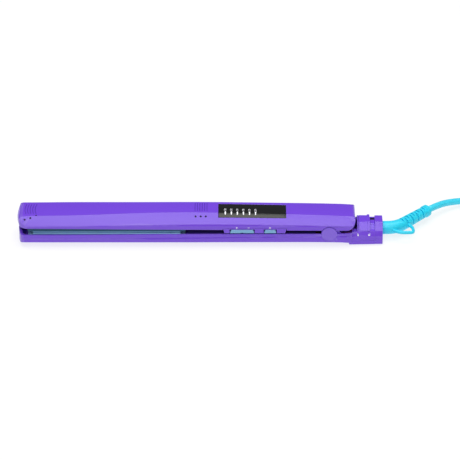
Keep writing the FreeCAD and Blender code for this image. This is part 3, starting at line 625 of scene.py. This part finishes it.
def edges_rounded(piece, width, segments, angle, clamp=True):
    """Rounds the edges that are sharper than an angle, by a width in millimetres."""
    soft = piece.modifiers.new("soften", "BEVEL")
    soft.width = width * MM
    soft.segments = segments
    soft.limit_method = "ANGLE"
    soft.angle_limit = math.radians(angle)
    soft.use_clamp_overlap = clamp
    return applied(piece)


def plug_block():
    """The flat body: narrow at the neck, with rounded shoulders and slightly hollow grips."""
    outline = [(0, 5.0), (2, 6.8), (6, 11.2), (9, 13.1), (13, 12.7), (19, 12.7), (24, 13.3), (26, 13.0)]
    shape = bmesh.new()
    layers = []
    for z, inset in ((0.15, 1.2), (1.2, 0.25), (3.4, 0), (10.3, 0), (12.5, 0.25), (13.55, 1.2)):
        loop = [(x + (0.3 if k == 0 else 0), y - inset) for k, (x, y) in enumerate(outline)]
        loop = loop + [(x, -y) for x, y in reversed(loop)]
        spots = [(PLUG_START + NECK_LONG + x, PLUG_AXIS.y + y, z) for x, y in loop]
        layers.append([shape.verts.new((x * MM, y * MM, z * MM)) for x, y, z in spots])
    span_rows(shape, layers)
    cap_rows(shape, layers)
    return edges_rounded(add_piece("plug_block", mesh_of(shape, "plug_block", outwards=True)), 0.5, 3, 30)


def metal(name, main, deep, roughness, stretch=(1, 1, 1), scale=400.0, metallic=1.0):
    """A bare metal with fine drawn or rolled lines."""
    material, nodes, join, shader = blank_material(name)
    drawn = nodes.new("ShaderNodeMapping")
    drawn.inputs["Scale"].default_value = stretch
    join(nodes.new("ShaderNodeTexCoord").outputs["Object"], drawn.inputs["Vector"])
    noise = {"Scale": scale, "Detail": 5}
    lines = object_texture(nodes, join, "ShaderNodeTexNoise", noise, drawn.outputs["Vector"]).outputs["Fac"]
    join(blended(nodes, join, lines, colour(deep), colour(main)), shader.inputs["Base Color"])
    join(value_range(nodes, join, lines, roughness - 0.06, roughness + 0.08), shader.inputs["Roughness"])
    add_bump(nodes, join, shader, lines, 0.25, 0.01)
    shader.inputs["Metallic"].default_value = metallic
    return material


def pins_piece():
    """Both pins: a brass rod with a rounded tip, and the insulating sleeve at its root."""
    profile = [(-2, 0), (-2, 2.0), (9.5, 2.0), (9.55, 1.9), (17.6, 1.9), (18.5, 1.35), (18.9, 0.7), (19.0, 0)]
    pieces = []
    for side in (-1, 1):
        centre = (PLUG_START + NECK_LONG + PLUG_LONG, PLUG_AXIS.y + side * 9.3, PLUG_AXIS.z)
        pieces.append(turned(f"pin_{side}", profile, 24, centre))
    return join_meshes("brass_pins", pieces)


def join_meshes(name, meshes):
    """One mesh of several, which are used up."""
    shape = bmesh.new()
    for mesh in meshes:
        shape.from_mesh(mesh)
        bpy.data.meshes.remove(mesh)
    return mesh_of(shape, name)


neck = add_piece("plug_neck", turned("plug_neck", neck_profile(), 32, PLUG_AXIS))
mains_plug = union(plug_block(), neck)
mains_plug.name = "mains_plug"
coat(mains_plug, turquoise_rubber)
mains_plug.data.shade_smooth()
mains_plug.data.set_sharp_from_angle(angle=math.radians(32))
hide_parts("plug_body")
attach(mains_plug, "root")
brass = metal("drawn_brass", "#d9b45c", "#b08a3a", 0.25, stretch=(0.05, 1, 1), scale=1200)
plug_pins = add_piece("round_pins", pins_piece(), brass)
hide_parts("plug_pins")
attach(plug_pins, "root")


# ---- Upper casing -------------------------------------------------------------------------------------
# The long faceted top half, moulded in violet plastic with a satin skin. Two groups of fine vent grooves
# are cut across its top face, each with three small blind holes in front of it.
def mark_worn(mesh, widest):
    """Marks the narrow faces that run along edges, for the paler wear there."""
    worn = mesh.attributes.new("worn", "FLOAT", "FACE")
    for face in mesh.polygons:
        corners = [mesh.vertices[v].co for v in face.vertices]
        longest = max((a - b).length for a, b in zip(corners, corners[1:] + corners[:1]))
        worn.data[face.index].value = 1.0 if face.area < widest * MM * longest else 0.0


def softened(node, name, width, angle=24, segments=2, weld=0.002, flat=0.05):
    """A copy of a hard part of the frame with its edges rounded as a mould leaves them."""
    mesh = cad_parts[node].data.copy()
    shape = bmesh.new()
    shape.from_mesh(mesh)
    bmesh.ops.remove_doubles(shape, verts=shape.verts, dist=weld * MM)
    bmesh.ops.dissolve_limit(
        shape, angle_limit=math.radians(flat), verts=shape.verts, edges=shape.edges, delimit=set()
    )
    surface = BVHTree.FromBMesh(shape)
    shape.to_mesh(mesh)
    shape.free()
    if "custom_normal" in mesh.attributes:
        mesh.attributes.remove(mesh.attributes["custom_normal"])
    piece = edges_rounded(add_piece(name, mesh), width, segments, angle, clamp=False)
    for corner in piece.data.vertices:
        nearest, _, _, gap = surface.find_nearest(corner.co)
        if gap > 0.8 * width * MM:
            corner.co = nearest
    mark_worn(piece.data, 0.5)
    return crisp(piece)


def crisp(piece):
    """Smooth shading within each face of the mould and a clean break at its edges."""
    piece.data.shade_smooth()
    piece.data.set_sharp_from_angle(angle=math.radians(17))
    return piece


def outside_of(piece):
    """A piece's surface, for finding heights on it."""
    shape = bmesh.new()
    shape.from_mesh(piece.data)
    surface = BVHTree.FromBMesh(shape)
    shape.free()
    return surface


def height_on(surface, x, y):
    """The height of a surface at a place seen from above, in millimetres."""
    return surface.ray_cast(Vector((x * MM, y * MM, 0.1)), Vector((0, 0, -1)))[0].z / MM


def finish_part(piece, material, node, body):
    """Gives a piece its finish, apart from what is cut into it, and puts it in its node's place."""
    if piece.data.materials:
        piece.data.materials[0] = material
    else:
        piece.data.materials.append(material)
    if "worn" not in piece.data.attributes:
        mark_worn(piece.data, 0.5)
    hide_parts(node)
    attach(piece, body)
    return piece


def carry(node, material):
    """A part of the frame that keeps its shape and gets a real finish."""
    coat(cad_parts[node], material)


violet = moulded("violet_plastic", "#7442de", "#6e3cd6", 0.27, grain=2600, relief=0.008, wear=0.12, ior=1.6)


def build_groove_tree():
    """A row of bowed round bars side by side, with which the vent grooves are cut."""
    tree = bpy.data.node_groups.new("vent_grooves", "GeometryNodeTree")
    face = tree.interface
    face.new_socket("Count", in_out="INPUT", socket_type="NodeSocketInt")
    for label in ("Pitch", "Half length", "Radius", "Bow"):
        face.new_socket(label, in_out="INPUT", socket_type="NodeSocketFloat")
    face.new_socket("Finish", in_out="INPUT", socket_type="NodeSocketMaterial")
    face.new_socket("Geometry", in_out="OUTPUT", socket_type="NodeSocketGeometry")
    nodes, join = tree.nodes, tree.links.new
    given, result = nodes.new("NodeGroupInput"), nodes.new("NodeGroupOutput")
    ends = []
    for sign in (-1.0, 1.0):
        end = nodes.new("ShaderNodeCombineXYZ")
        join(given.outputs["Bow"], end.inputs["X"])
        join(maths(nodes, join, "MULTIPLY", given.outputs["Half length"], sign), end.inputs["Y"])
        ends.append(end.outputs[0])
    middle = nodes.new("ShaderNodeCombineXYZ")
    join(maths(nodes, join, "MULTIPLY", given.outputs["Bow"], -1.0), middle.inputs["X"])
    arc = nodes.new("GeometryNodeCurveQuadraticBezier")
    arc.inputs["Resolution"].default_value = 12
    join(ends[0], arc.inputs["Start"])
    join(middle.outputs[0], arc.inputs["Middle"])
    join(ends[1], arc.inputs["End"])
    section = nodes.new("GeometryNodeCurvePrimitiveCircle")
    section.inputs["Resolution"].default_value = 10
    join(given.outputs["Radius"], section.inputs["Radius"])
    bar = nodes.new("GeometryNodeCurveToMesh")
    bar.inputs["Fill Caps"].default_value = True
    join(arc.outputs["Curve"], bar.inputs["Curve"])
    join(section.outputs["Curve"], bar.inputs["Profile Curve"])
    step = nodes.new("ShaderNodeCombineXYZ")
    join(given.outputs["Pitch"], step.inputs["X"])
    row = nodes.new("GeometryNodeMeshLine")
    join(given.outputs["Count"], row.inputs["Count"])
    join(step.outputs[0], row.inputs["Offset"])
    copies = nodes.new("GeometryNodeInstanceOnPoints")
    join(row.outputs["Mesh"], copies.inputs["Points"])
    join(bar.outputs["Mesh"], copies.inputs["Instance"])
    real = nodes.new("GeometryNodeRealizeInstances")
    join(copies.outputs["Instances"], real.inputs["Geometry"])
    painted = nodes.new("GeometryNodeSetMaterial")
    join(real.outputs["Geometry"], painted.inputs["Geometry"])
    join(given.outputs["Finish"], painted.inputs["Material"])
    join(painted.outputs["Geometry"], result.inputs["Geometry"])
    return tree


def made_by_nodes(name, tree, values):
    """A plain mesh object made by a Geometry Nodes tree with these inputs."""
    piece = add_piece(name, bpy.data.meshes.new(name))
    maker = piece.modifiers.new("maker", "NODES")
    maker.node_group = tree
    for socket in tree.interface.items_tree:
        if socket.item_type == "SOCKET" and socket.in_out == "INPUT" and socket.name in values:
            maker[socket.identifier] = values[socket.name]
    return applied(piece)


def box_cutter(name, middle, size, material=None):
    """An upright box to cut with, by its middle and its size in millimetres."""
    box = bmesh.new()
    place = Matrix.Translation([distance * MM for distance in middle])
    bmesh.ops.create_cube(box, size=MM, matrix=place @ Matrix.Diagonal((*size, 1)))
    return add_piece(name, mesh_of(box, name), material)


def carve(piece, cutter):
    """Cuts one piece's shape out of another. The cut faces keep the cutter's material."""
    cutting = piece.modifiers.new("carve", "BOOLEAN")
    cutting.operation = "DIFFERENCE"
    cutting.solver = "EXACT"
    cutting.material_mode = "TRANSFER"
    cutting.object = cutter
    applied(piece)
    bpy.data.objects.remove(cutter)


def keep_shading(piece, model):
    """Gives the faces that a cut left in place the shading that they have on the uncut model."""
    skin, cut_mesh = model.data, piece.data
    skin.calc_loop_triangles()
    cut_mesh.calc_loop_triangles()
    surface = BVHTree.FromPolygons(
        [corner.co for corner in skin.vertices], [tuple(part.vertices) for part in skin.loop_triangles]
    )
    inset, reach, same_slope = 0.02, 0.02 * MM, 0.97
    shading = [Vector((0, 0, 0)) for _ in cut_mesh.loops]
    for part in cut_mesh.loop_triangles:
        corners = [cut_mesh.vertices[v].co for v in part.vertices]
        middle = (corners[0] + corners[1] + corners[2]) / 3
        for loop, corner in zip(part.loops, corners, strict=True):
            spot, _, index, gap = surface.find_nearest(corner.lerp(middle, inset))
            below = skin.loop_triangles[index]
            if gap > reach or below.normal.dot(part.normal) < same_slope:
                continue
            outline = [skin.vertices[v].co for v in below.vertices]
            sheen = [skin.corner_normals[k].vector for k in below.loops]
            shading[loop] = barycentric_transform(spot, *outline, *sheen).normalized()
    cut_mesh.normals_split_custom_set(shading)


groove_tree = build_groove_tree()
# The groove faces get a darker violet: painted shade for the shade that falls inside the grooves.
groove_shade_violet = moulded("groove_shade_violet", "#5c33bd", "#532cad", 0.45, grain=2600, relief=0.008, wear=0)
# The blind holes are lined in near-black violet: painted shade standing in for the dark inside of holes that
# go through.
vent_hole_shade = moulded("vent_hole_shade", "#2c1a55", "#241548", 0.6, grain=2600, relief=0.01, wear=0)
GROOVES = (
    {"start": -130.2, "Count": 5, "Pitch": 1.9, "Half length": 6.6, "Radius": 0.28, "Bow": 0.9},
    {"start": -3.7, "Count": 6, "Pitch": 1.78, "Half length": 5.6, "Radius": 0.28, "Bow": 0.0},
)
DRILL_RADIUS = 0.75
BLIND_HOLES = ((-129.9, -11.6), (-125.7, -10.8), (-121.5, -8.9), (-3.2, -9.9), (0.6, -9.9), (4.4, -9.9))
upper_casing = softened("upper_shell", "upper_casing", 0.22)
uncut_casing = add_piece("uncut_casing", upper_casing.data.copy())
upper_outside = outside_of(upper_casing)
for number, sizes in enumerate(GROOVES):
    values = {k: v * MM if isinstance(v, float) else v for k, v in sizes.items()}
    values["Finish"] = groove_shade_violet
    bars = made_by_nodes(f"groove_bars_{number}", groove_tree, values)
    for corner in bars.data.vertices:
        corner.co.x += sizes["start"] * MM
        corner.co.z += height_on(upper_outside, corner.co.x / MM, 0) * MM
    carve(upper_casing, bars)
for x, y in BLIND_HOLES:
    drill = bmesh.new()
    spot = Matrix.Translation((x * MM, y * MM, height_on(upper_outside, x, y) * MM))
    bmesh.ops.create_icosphere(drill, subdivisions=3, radius=DRILL_RADIUS * MM, matrix=spot)
    carve(upper_casing, add_piece("drill", mesh_of(drill, "drill"), vent_hole_shade))
keep_shading(crisp(upper_casing), uncut_casing)
bpy.data.objects.remove(uncut_casing)
finish_part(upper_casing, violet, "upper_shell", "upper_arm")

# ---- Display window -----------------------------------------------------------------------------------
# A smoked acrylic window set flush in the top and wrapped over the slanted edge, with six temperature
# numbers printed on it in white and a light for each, shining through at the bend.
smoked = moulded(
    "smoked_acrylic", "#0d0d0e", "#09090a", 0.16, grain=900, relief=0.001, smears=0.05, wear=0, ior=1.55
)
window = softened("display_window", "smoked_window", 0.12)
finish_part(window, smoked, "display_window", "upper_arm")
window_outside = outside_of(window)
LIGHT_FIRST, LIGHT_PITCH = 18.8, 4.49
LIGHT_Y, LIGHT_SINK, LIGHT_TILT = -7.3, 0.25, math.radians(14)
LIGHT_REACH = (0.62, 1.7, 0.42)
NUMBERS = ("130", "150", "170", "190", "210", "230")
NUMBER_HIGH, NUMBER_Y, PRINT_THICK = 2.3, -3.3, 0.02
white_print = moulded("white_print", "#f4f2fa", "#e4e0f0", 0.5, grain=3000, relief=0.004, wear=0)


def glowing(name, main, strength):
    """A cloudy white plastic that is lit from inside."""
    material, nodes, join, shader = blank_material(name)
    cells = object_texture(nodes, join, "ShaderNodeTexNoise", {"Scale": 900})
    shine = blended(nodes, join, cells.outputs["Fac"], colour(main), (1, 1, 1, 1))
    join(shine, shader.inputs["Base Color"])
    join(shine, shader.inputs["Emission Color"])
    shader.inputs["Emission Strength"].default_value = strength
    shader.inputs["Roughness"].default_value = 0.35
    return material


def printed_number(text, x):
    """A printed number that reads away from the button side and stands 0.035 mm off the window."""
    face = bpy.data.curves.new("number", "FONT")
    face.body = text
    face.size = NUMBER_HIGH * MM
    face.extrude = PRINT_THICK * MM
    face.align_x, face.align_y = "CENTER", "CENTER"
    holder = bpy.data.objects.new("number", face)
    scene.collection.objects.link(holder)
    ready = holder.evaluated_get(bpy.context.evaluated_depsgraph_get())
    mesh = bpy.data.meshes.new_from_object(ready)
    bpy.data.objects.remove(holder)
    mesh.transform(Matrix.Rotation(math.pi / 2, 4, "Z"))
    z = height_on(window_outside, x, NUMBER_Y) + 0.015
    mesh.transform(Matrix.Translation((x * MM, NUMBER_Y * MM, z * MM)))
    return mesh


def lens(middle, reach, tilt):
    """A small domed lens, of half sizes across, along and up, tipped towards the button side."""
    shape = bmesh.new()
    spot = Matrix.Translation(Vector(middle) * MM) @ Matrix.Rotation(tilt, 4, "X")
    size = Matrix.Diagonal((*reach, 1))
    bmesh.ops.create_uvsphere(shape, u_segments=20, v_segments=12, radius=MM, matrix=spot @ size)
    mesh = mesh_of(shape, "lens")
    mesh.shade_smooth()
    return mesh


numbers = [printed_number(text, LIGHT_FIRST + LIGHT_PITCH * n) for n, text in enumerate(NUMBERS)]
window_numbers = add_piece("window_numbers", join_meshes("window_numbers", numbers), white_print)
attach(window_numbers, "upper_arm")
glow_white = glowing("glow_white", "#e8e8f4", 0.35)
lenses = []
for n in range(len(NUMBERS)):
    x = LIGHT_FIRST + LIGHT_PITCH * n
    z = height_on(window_outside, x, LIGHT_Y) - LIGHT_SINK
    lenses.append(lens((x, LIGHT_Y, z), LIGHT_REACH, LIGHT_TILT))
light_lenses = add_piece("light_lenses", join_meshes("light_lenses", lenses), glow_white)
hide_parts("indicator_lights")
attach(light_lenses, "upper_arm")


def circuit(name):
    """Green solder mask over copper tracks that run square to each other."""
    material, nodes, join, shader = blank_material(name)
    paints = {"Color1": "#0d5a33", "Color2": "#0f6339", "Mortar": "#2b8f57"}
    settings = {"Scale": 260, "Mortar Size": 0.05} | {k: colour(v) for k, v in paints.items()}
    tracks = object_texture(nodes, join, "ShaderNodeTexBrick", settings)
    join(tracks.outputs["Color"], shader.inputs["Base Color"])
    add_bump(nodes, join, shader, tracks.outputs["Fac"], 1.0, 0.03)
    join(value_range(nodes, join, tracks.outputs["Fac"], 0.3, 0.45), shader.inputs["Roughness"])
    return material


circuit_green = circuit("circuit_green")
carry("display_board", circuit_green)

# ---- Button side --------------------------------------------------------------------------------------
# A violet panel let into the near side, with a rocker for the temperature and a power button moulded in
# pale blue. Small white signs are printed on the casing above them.
notched_panel = softened("button_panel", "notched_panel", 0.1)
finish_part(notched_panel, violet, "button_panel", "upper_arm")
pale_blue = moulded("pale_blue_plastic", "#7fb4dc", "#6fa6d2", 0.3, relief=0.01, wear=0.1)
for node, name in (("temperature_rocker", "rocker_key"), ("power_button", "power_key")):
    finish_part(softened(node, name, 0.22, segments=3), pale_blue, node, node)


def flat_sign(name, shapes, origin, right, up, material):
    """Flat printed shapes, each a ring of (right, up) places in millimetres, 0.03 mm thick."""
    origin, right, up = Vector(origin), Vector(right).normalized(), Vector(up).normalized()
    out = right.cross(up)
    shape = bmesh.new()
    for ring in shapes:
        low, high = [
            [shape.verts.new((origin + right * u + up * v + out * lift) * MM) for u, v in ring]
            for lift in (-0.02, 0.03)
        ]
        cap_rows(shape, (high, low))
        span_rows(shape, (low, high))
    return add_piece(name, mesh_of(shape, name, outwards=True), material)


def stroke(u, v, wide, high):
    """A straight stroke, by its middle and its size."""
    return [(u + a * wide / 2, v + b * high / 2) for a, b in ((-1, -1), (1, -1), (1, 1), (-1, 1))]


def arc_strokes(u, v, radius, wide, first, last, steps):
    """A bent stroke as a chain of four-sided shapes."""
    shapes = []
    for n in range(steps):
        a, b = (math.radians(first + (last - first) * k / steps) for k in (n, n + 1))
        inner, outer = radius - wide / 2, radius + wide / 2
        corners = ((inner, a), (outer, a), (outer, b), (inner, b))
        shapes.append([(u + r * math.cos(t), v + r * math.sin(t)) for r, t in corners])
    return shapes


SIGN_Y, SIGN_HIGH = -15.0, 17.2
plus_sign = [stroke(0, 0, 1.5, 0.42), stroke(0, 0.46, 0.42, 0.5), stroke(0, -0.46, 0.42, 0.5)]
minus_sign = [stroke(0, 0, 1.3, 0.42)]
power_sign = [*arc_strokes(0, 0, 0.56, 0.3, 125, 415, 14), stroke(0, 0.45, 0.3, 0.7)]
for name, x, shapes in (
    ("plus_sign", 27.3, plus_sign),
    ("minus_sign", 36.1, minus_sign),
    ("power_sign", 52.0, power_sign),
):
    sign = flat_sign(name, shapes, (x, SIGN_Y, SIGN_HIGH), (1, 0, 0), (0, 0, 1), white_print)
    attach(sign, "upper_arm")
carry("button_board", circuit_green)
black_nylon = moulded("black_nylon", "#1b1a20", "#121216", 0.5, grain=1500, relief=0.03, wear=0.1)
carry("button_switches", black_nylon)

# ---- Lower casing -------------------------------------------------------------------------------------
# The bottom half, in the same satin violet plastic. One moulding takes in the tray of the tail and the two
# round ears of the hinge.
lower_casing = softened("lower_shell", "lower_casing", 0.22)
finish_part(lower_casing, violet, "lower_shell", "root")

# ---- Inner covers -------------------------------------------------------------------------------------
# Dark violet covers close both arms behind the plates, each held by two cross-slot screws. A peg on the
# upper one lines the arms up as they close.
inner_violet = moulded("inner_violet_plastic", "#43268c", "#391f7c", 0.45, wear=0.05)
for node, body in (("upper_inner_cover", "upper_arm"), ("lower_inner_cover", "root")):
    finish_part(softened(node, f"fitted_{node}", 0.18), inner_violet, node, body)
peg_low, peg_high = (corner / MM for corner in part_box("alignment_peg"))
peg_x, peg_y = (peg_low.x + peg_high.x) / 2, (peg_low.y + peg_high.y) / 2
peg_long = peg_high.z - peg_low.z
peg_profile = [(0, 0), (0, 1.1), (0.5, 1.7), (1.1, 1.9), (peg_long, 1.9), (peg_long, 0)]
peg_mesh = turned("round_peg", peg_profile, 28, (peg_x, peg_y, peg_low.z), axis="Z")
round_peg = add_piece("round_peg", peg_mesh)
finish_part(round_peg, black_nylon, "alignment_peg", "upper_arm")
zinc = metal("zinc_plated_steel", "#a8abb2", "#7f828a", 0.32, scale=900)


def screw_pair(node, name, body, face_up):
    """Two pan-head screws with a cross slot, in the place of a node's pair."""
    low, high = (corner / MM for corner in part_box(node))
    head = 2.0
    places = (low.x + head, high.x - head)
    long = high.z - low.z
    profile = [(0, 0), (0, 0.8), (0.5, 1.1), (long - 0.9, 1.1), (long - 0.9, head), (long - 0.45, head)]
    profile += [(long - 0.12, 1.55), (long, 0.7), (long, 0)]
    meshes = []
    for x in places:
        screw = turned("screw", profile, 24, (0, 0, 0), axis="Z")
        if not face_up:
            screw.transform(Matrix.Rotation(math.pi, 4, "X") @ Matrix.Translation((0, 0, -long * MM)))
        screw.transform(Matrix.Translation((x * MM, 0, low.z * MM)))
        meshes.append(screw)
    pair = add_piece(name, join_meshes(name, meshes))
    head_z = high.z if face_up else low.z
    for x in places:
        for wide, deep in ((2.2, 0.42), (0.42, 2.2)):
            carve(pair, box_cutter("slot", (x, 0, head_z), (wide, deep, 0.9)))
    return finish_part(pair, zinc, node, body)


screw_pair("upper_cover_screws", "upper_screws", "upper_arm", False)
screw_pair("lower_cover_screws", "lower_screws", "root", True)

# ---- Heating plates -----------------------------------------------------------------------------------
# Two aluminium plates with a pale blue titanium coating, each floating on silicone cushions with a flat
# ceramic heater bar behind it. They sit in moulded nylon trays, coloured deep teal above as painted shade
# under the upper arm and pale blue below as painted light on the lower one.
pale_titanium = metal("pale_titanium", "#92c2e4", "#84b6da", 0.32, (0.08, 1, 1), 700, metallic=0.5)
for side in ("upper", "lower"):
    plate = softened(f"{side}_plate", f"{side}_hot_plate", 0.2, angle=30, segments=3)
    finish_part(plate, pale_titanium, f"{side}_plate", f"{side}_plate_float")
# One nylon in two copies: deep teal with painted shade for the upper tray, pale blue with painted light for
# the lower.
shaded_teal_nylon = moulded("shaded_teal_nylon", "#0c4f70", "#0a4665", 0.55, grain=1500, relief=0.03, wear=0.1)
lit_blue_nylon = moulded("lit_blue_nylon", "#a8d2f0", "#98c6e8", 0.45, grain=1500, relief=0.03, wear=0.1)
for node, nylon, body in (
    ("upper_plate_carrier", shaded_teal_nylon, "upper_arm"),
    ("lower_plate_carrier", lit_blue_nylon, "root"),
):
    finish_part(softened(node, f"open_{node}", 0.2), nylon, node, body)
fired_ceramic = moulded("fired_ceramic", "#ddd8cb", "#c9c3b4", 0.6, grain=900, relief=0.05, wear=0)
carry("upper_heater", fired_ceramic)
carry("lower_heater", fired_ceramic)
red_silicone = moulded("red_silicone", "#b8503a", "#a04430", 0.5, grain=1200, relief=0.04, wear=0)
for node, body, joint, still in (
    ("upper_plate_cushions", "upper_arm", "upper_plate_give", 1),
    ("lower_plate_cushions", "root", "lower_plate_give", 0),
):
    cushions = softened(node, f"soft_{node}", 0.5, segments=4)
    finish_part(cushions, red_silicone, node, body)
    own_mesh(cushions)
lead_sleeve = moulded("lead_sleeve", "#8f2018", "#7c1a14", 0.45, grain=1800, relief=0.02, wear=0)
carry("temperature_sensor", lead_sleeve)

# ---- Hinge --------------------------------------------------------------------------------------------
# A nylon knuckle on the upper arm turns on a steel pin between the ears, a coil spring round the pin opens
# the arms, and a round cap covers each end.
carry("hinge_knuckle", black_nylon)
carry("hinge_pin", zinc)
carry("opening_spring", zinc)


CAP_THICK = 0.7


def cap_profile(radius):
    """A thin disc whose rim rolls over to its outer face."""
    rim = [(CAP_THICK * 0.4, radius), (CAP_THICK * 0.75, radius - 0.12), (CAP_THICK, radius - 0.5)]
    return [(0, 0), (0, radius - 0.05), *rim, (CAP_THICK, 0)]


cap_low, cap_high = (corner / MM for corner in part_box("pivot_caps"))
cap_radius = (cap_high.x - cap_low.x) / 2
cap_x, cap_z = cap_low.x + cap_radius, cap_low.z + cap_radius
caps = []
for side in (-1, 1):
    cap = turned("cap", cap_profile(cap_radius), 64, (0, 0, 0), axis="Y")
    if side < 0:
        cap.transform(Matrix.Rotation(math.pi, 4, "Z"))
    cap.transform(Matrix.Translation((cap_x * MM, side * (cap_high.y - CAP_THICK) * MM, cap_z * MM)))
    caps.append(cap)
round_caps = add_piece("round_caps", join_meshes("round_caps", caps))
finish_part(round_caps, violet, "pivot_caps", "root")

# ---- Tail ---------------------------------------------------------------------------------------------
# A faceted violet cover over the tray's end, and an end collar that holds the cord swivel. A slider in the
# cover's saddle locks the arms shut, its stem in a slot behind it, and two printed padlocks show which way.
tail_cover = softened("tail_cover", "saddle_cover", 0.2, flat=1.0)
SLOT_LOW, SLOT_HIGH = Vector((127.0, 0.8, 13.5)), Vector((129.9, 4.6, 18.0))
# The stem slot's cut faces are near-black: painted shade for the dark inside of the tail.
slot_painted_shade = moulded("slot_painted_shade", "#0f0b18", "#0a0712", 0.6, grain=2600, relief=0.01, wear=0)
carve(tail_cover, box_cutter("stem_slot", (SLOT_LOW + SLOT_HIGH) / 2, SLOT_HIGH - SLOT_LOW, slot_painted_shade))
finish_part(crisp(tail_cover), violet, "tail_cover", "root")
lock_key = softened("lock_slider", "lock_key", 0.12, weld=0.12)
finish_part(lock_key, violet, "lock_slider", "lock_slider")
swivel_collar = softened("end_collar", "swivel_collar", 0.35, segments=3, flat=0.6)
finish_part(swivel_collar, violet, "end_collar", "root")


def padlock(open_side):
    """A padlock's body and its bow, which stands open to one side or goes down into the body."""
    shift, lift = (0.35, 0.25) if open_side else (0, 0)
    reach, wire = 0.42, 0.22
    bow = arc_strokes(shift, 0.55 + lift, reach, wire, 0, 180, 8)
    legs = [stroke(shift - reach, 0.4 + lift / 2, wire, 0.4 + lift)]
    if not open_side:
        legs.append(stroke(reach, 0.4, wire, 0.4))
    return [stroke(0, -0.25, 1.45, 1.05), *bow, *legs]


# The tail's slanted side runs between its belt and its crease, whose half widths shrink towards its end.
TAIL_START, TAIL_LONG = 108, 29
BELT_HIGH, CREASE_HIGH, PADLOCK_HIGH = 7.7, 11.7, 9.0
for name, x, open_side in (("closed_padlock", 117.4, False), ("open_padlock", 125.8, True)):
    share = (x - TAIL_START) / TAIL_LONG
    crease, belt = 10.6 - 0.8 * share, 13.0 - 1.3 * share
    lean = (belt - crease) / (CREASE_HIGH - BELT_HIGH)
    middle = (x, lean * (PADLOCK_HIGH - BELT_HIGH) - belt, PADLOCK_HIGH)
    sign = flat_sign(name, padlock(open_side), middle, (1, 0, 0), (0, lean, 1), white_print)
    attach(sign, "root")

# ---- Wiring -------------------------------------------------------------------------------------------
# Supply and heater leads in red silicone sleeves, the thermal fuse in its metal can, the contact block and
# the swivel's core, which all lie inside.
for node in ("supply_leads", "heater_leads"):
    carry(node, lead_sleeve)
carry("thermal_fuse", metal("fuse_can", "#b9bcc2", "#989ba2", 0.3, stretch=(0.1, 1, 1), scale=800))
carry("contact_block", black_nylon)
carry("swivel_core", black_nylon)
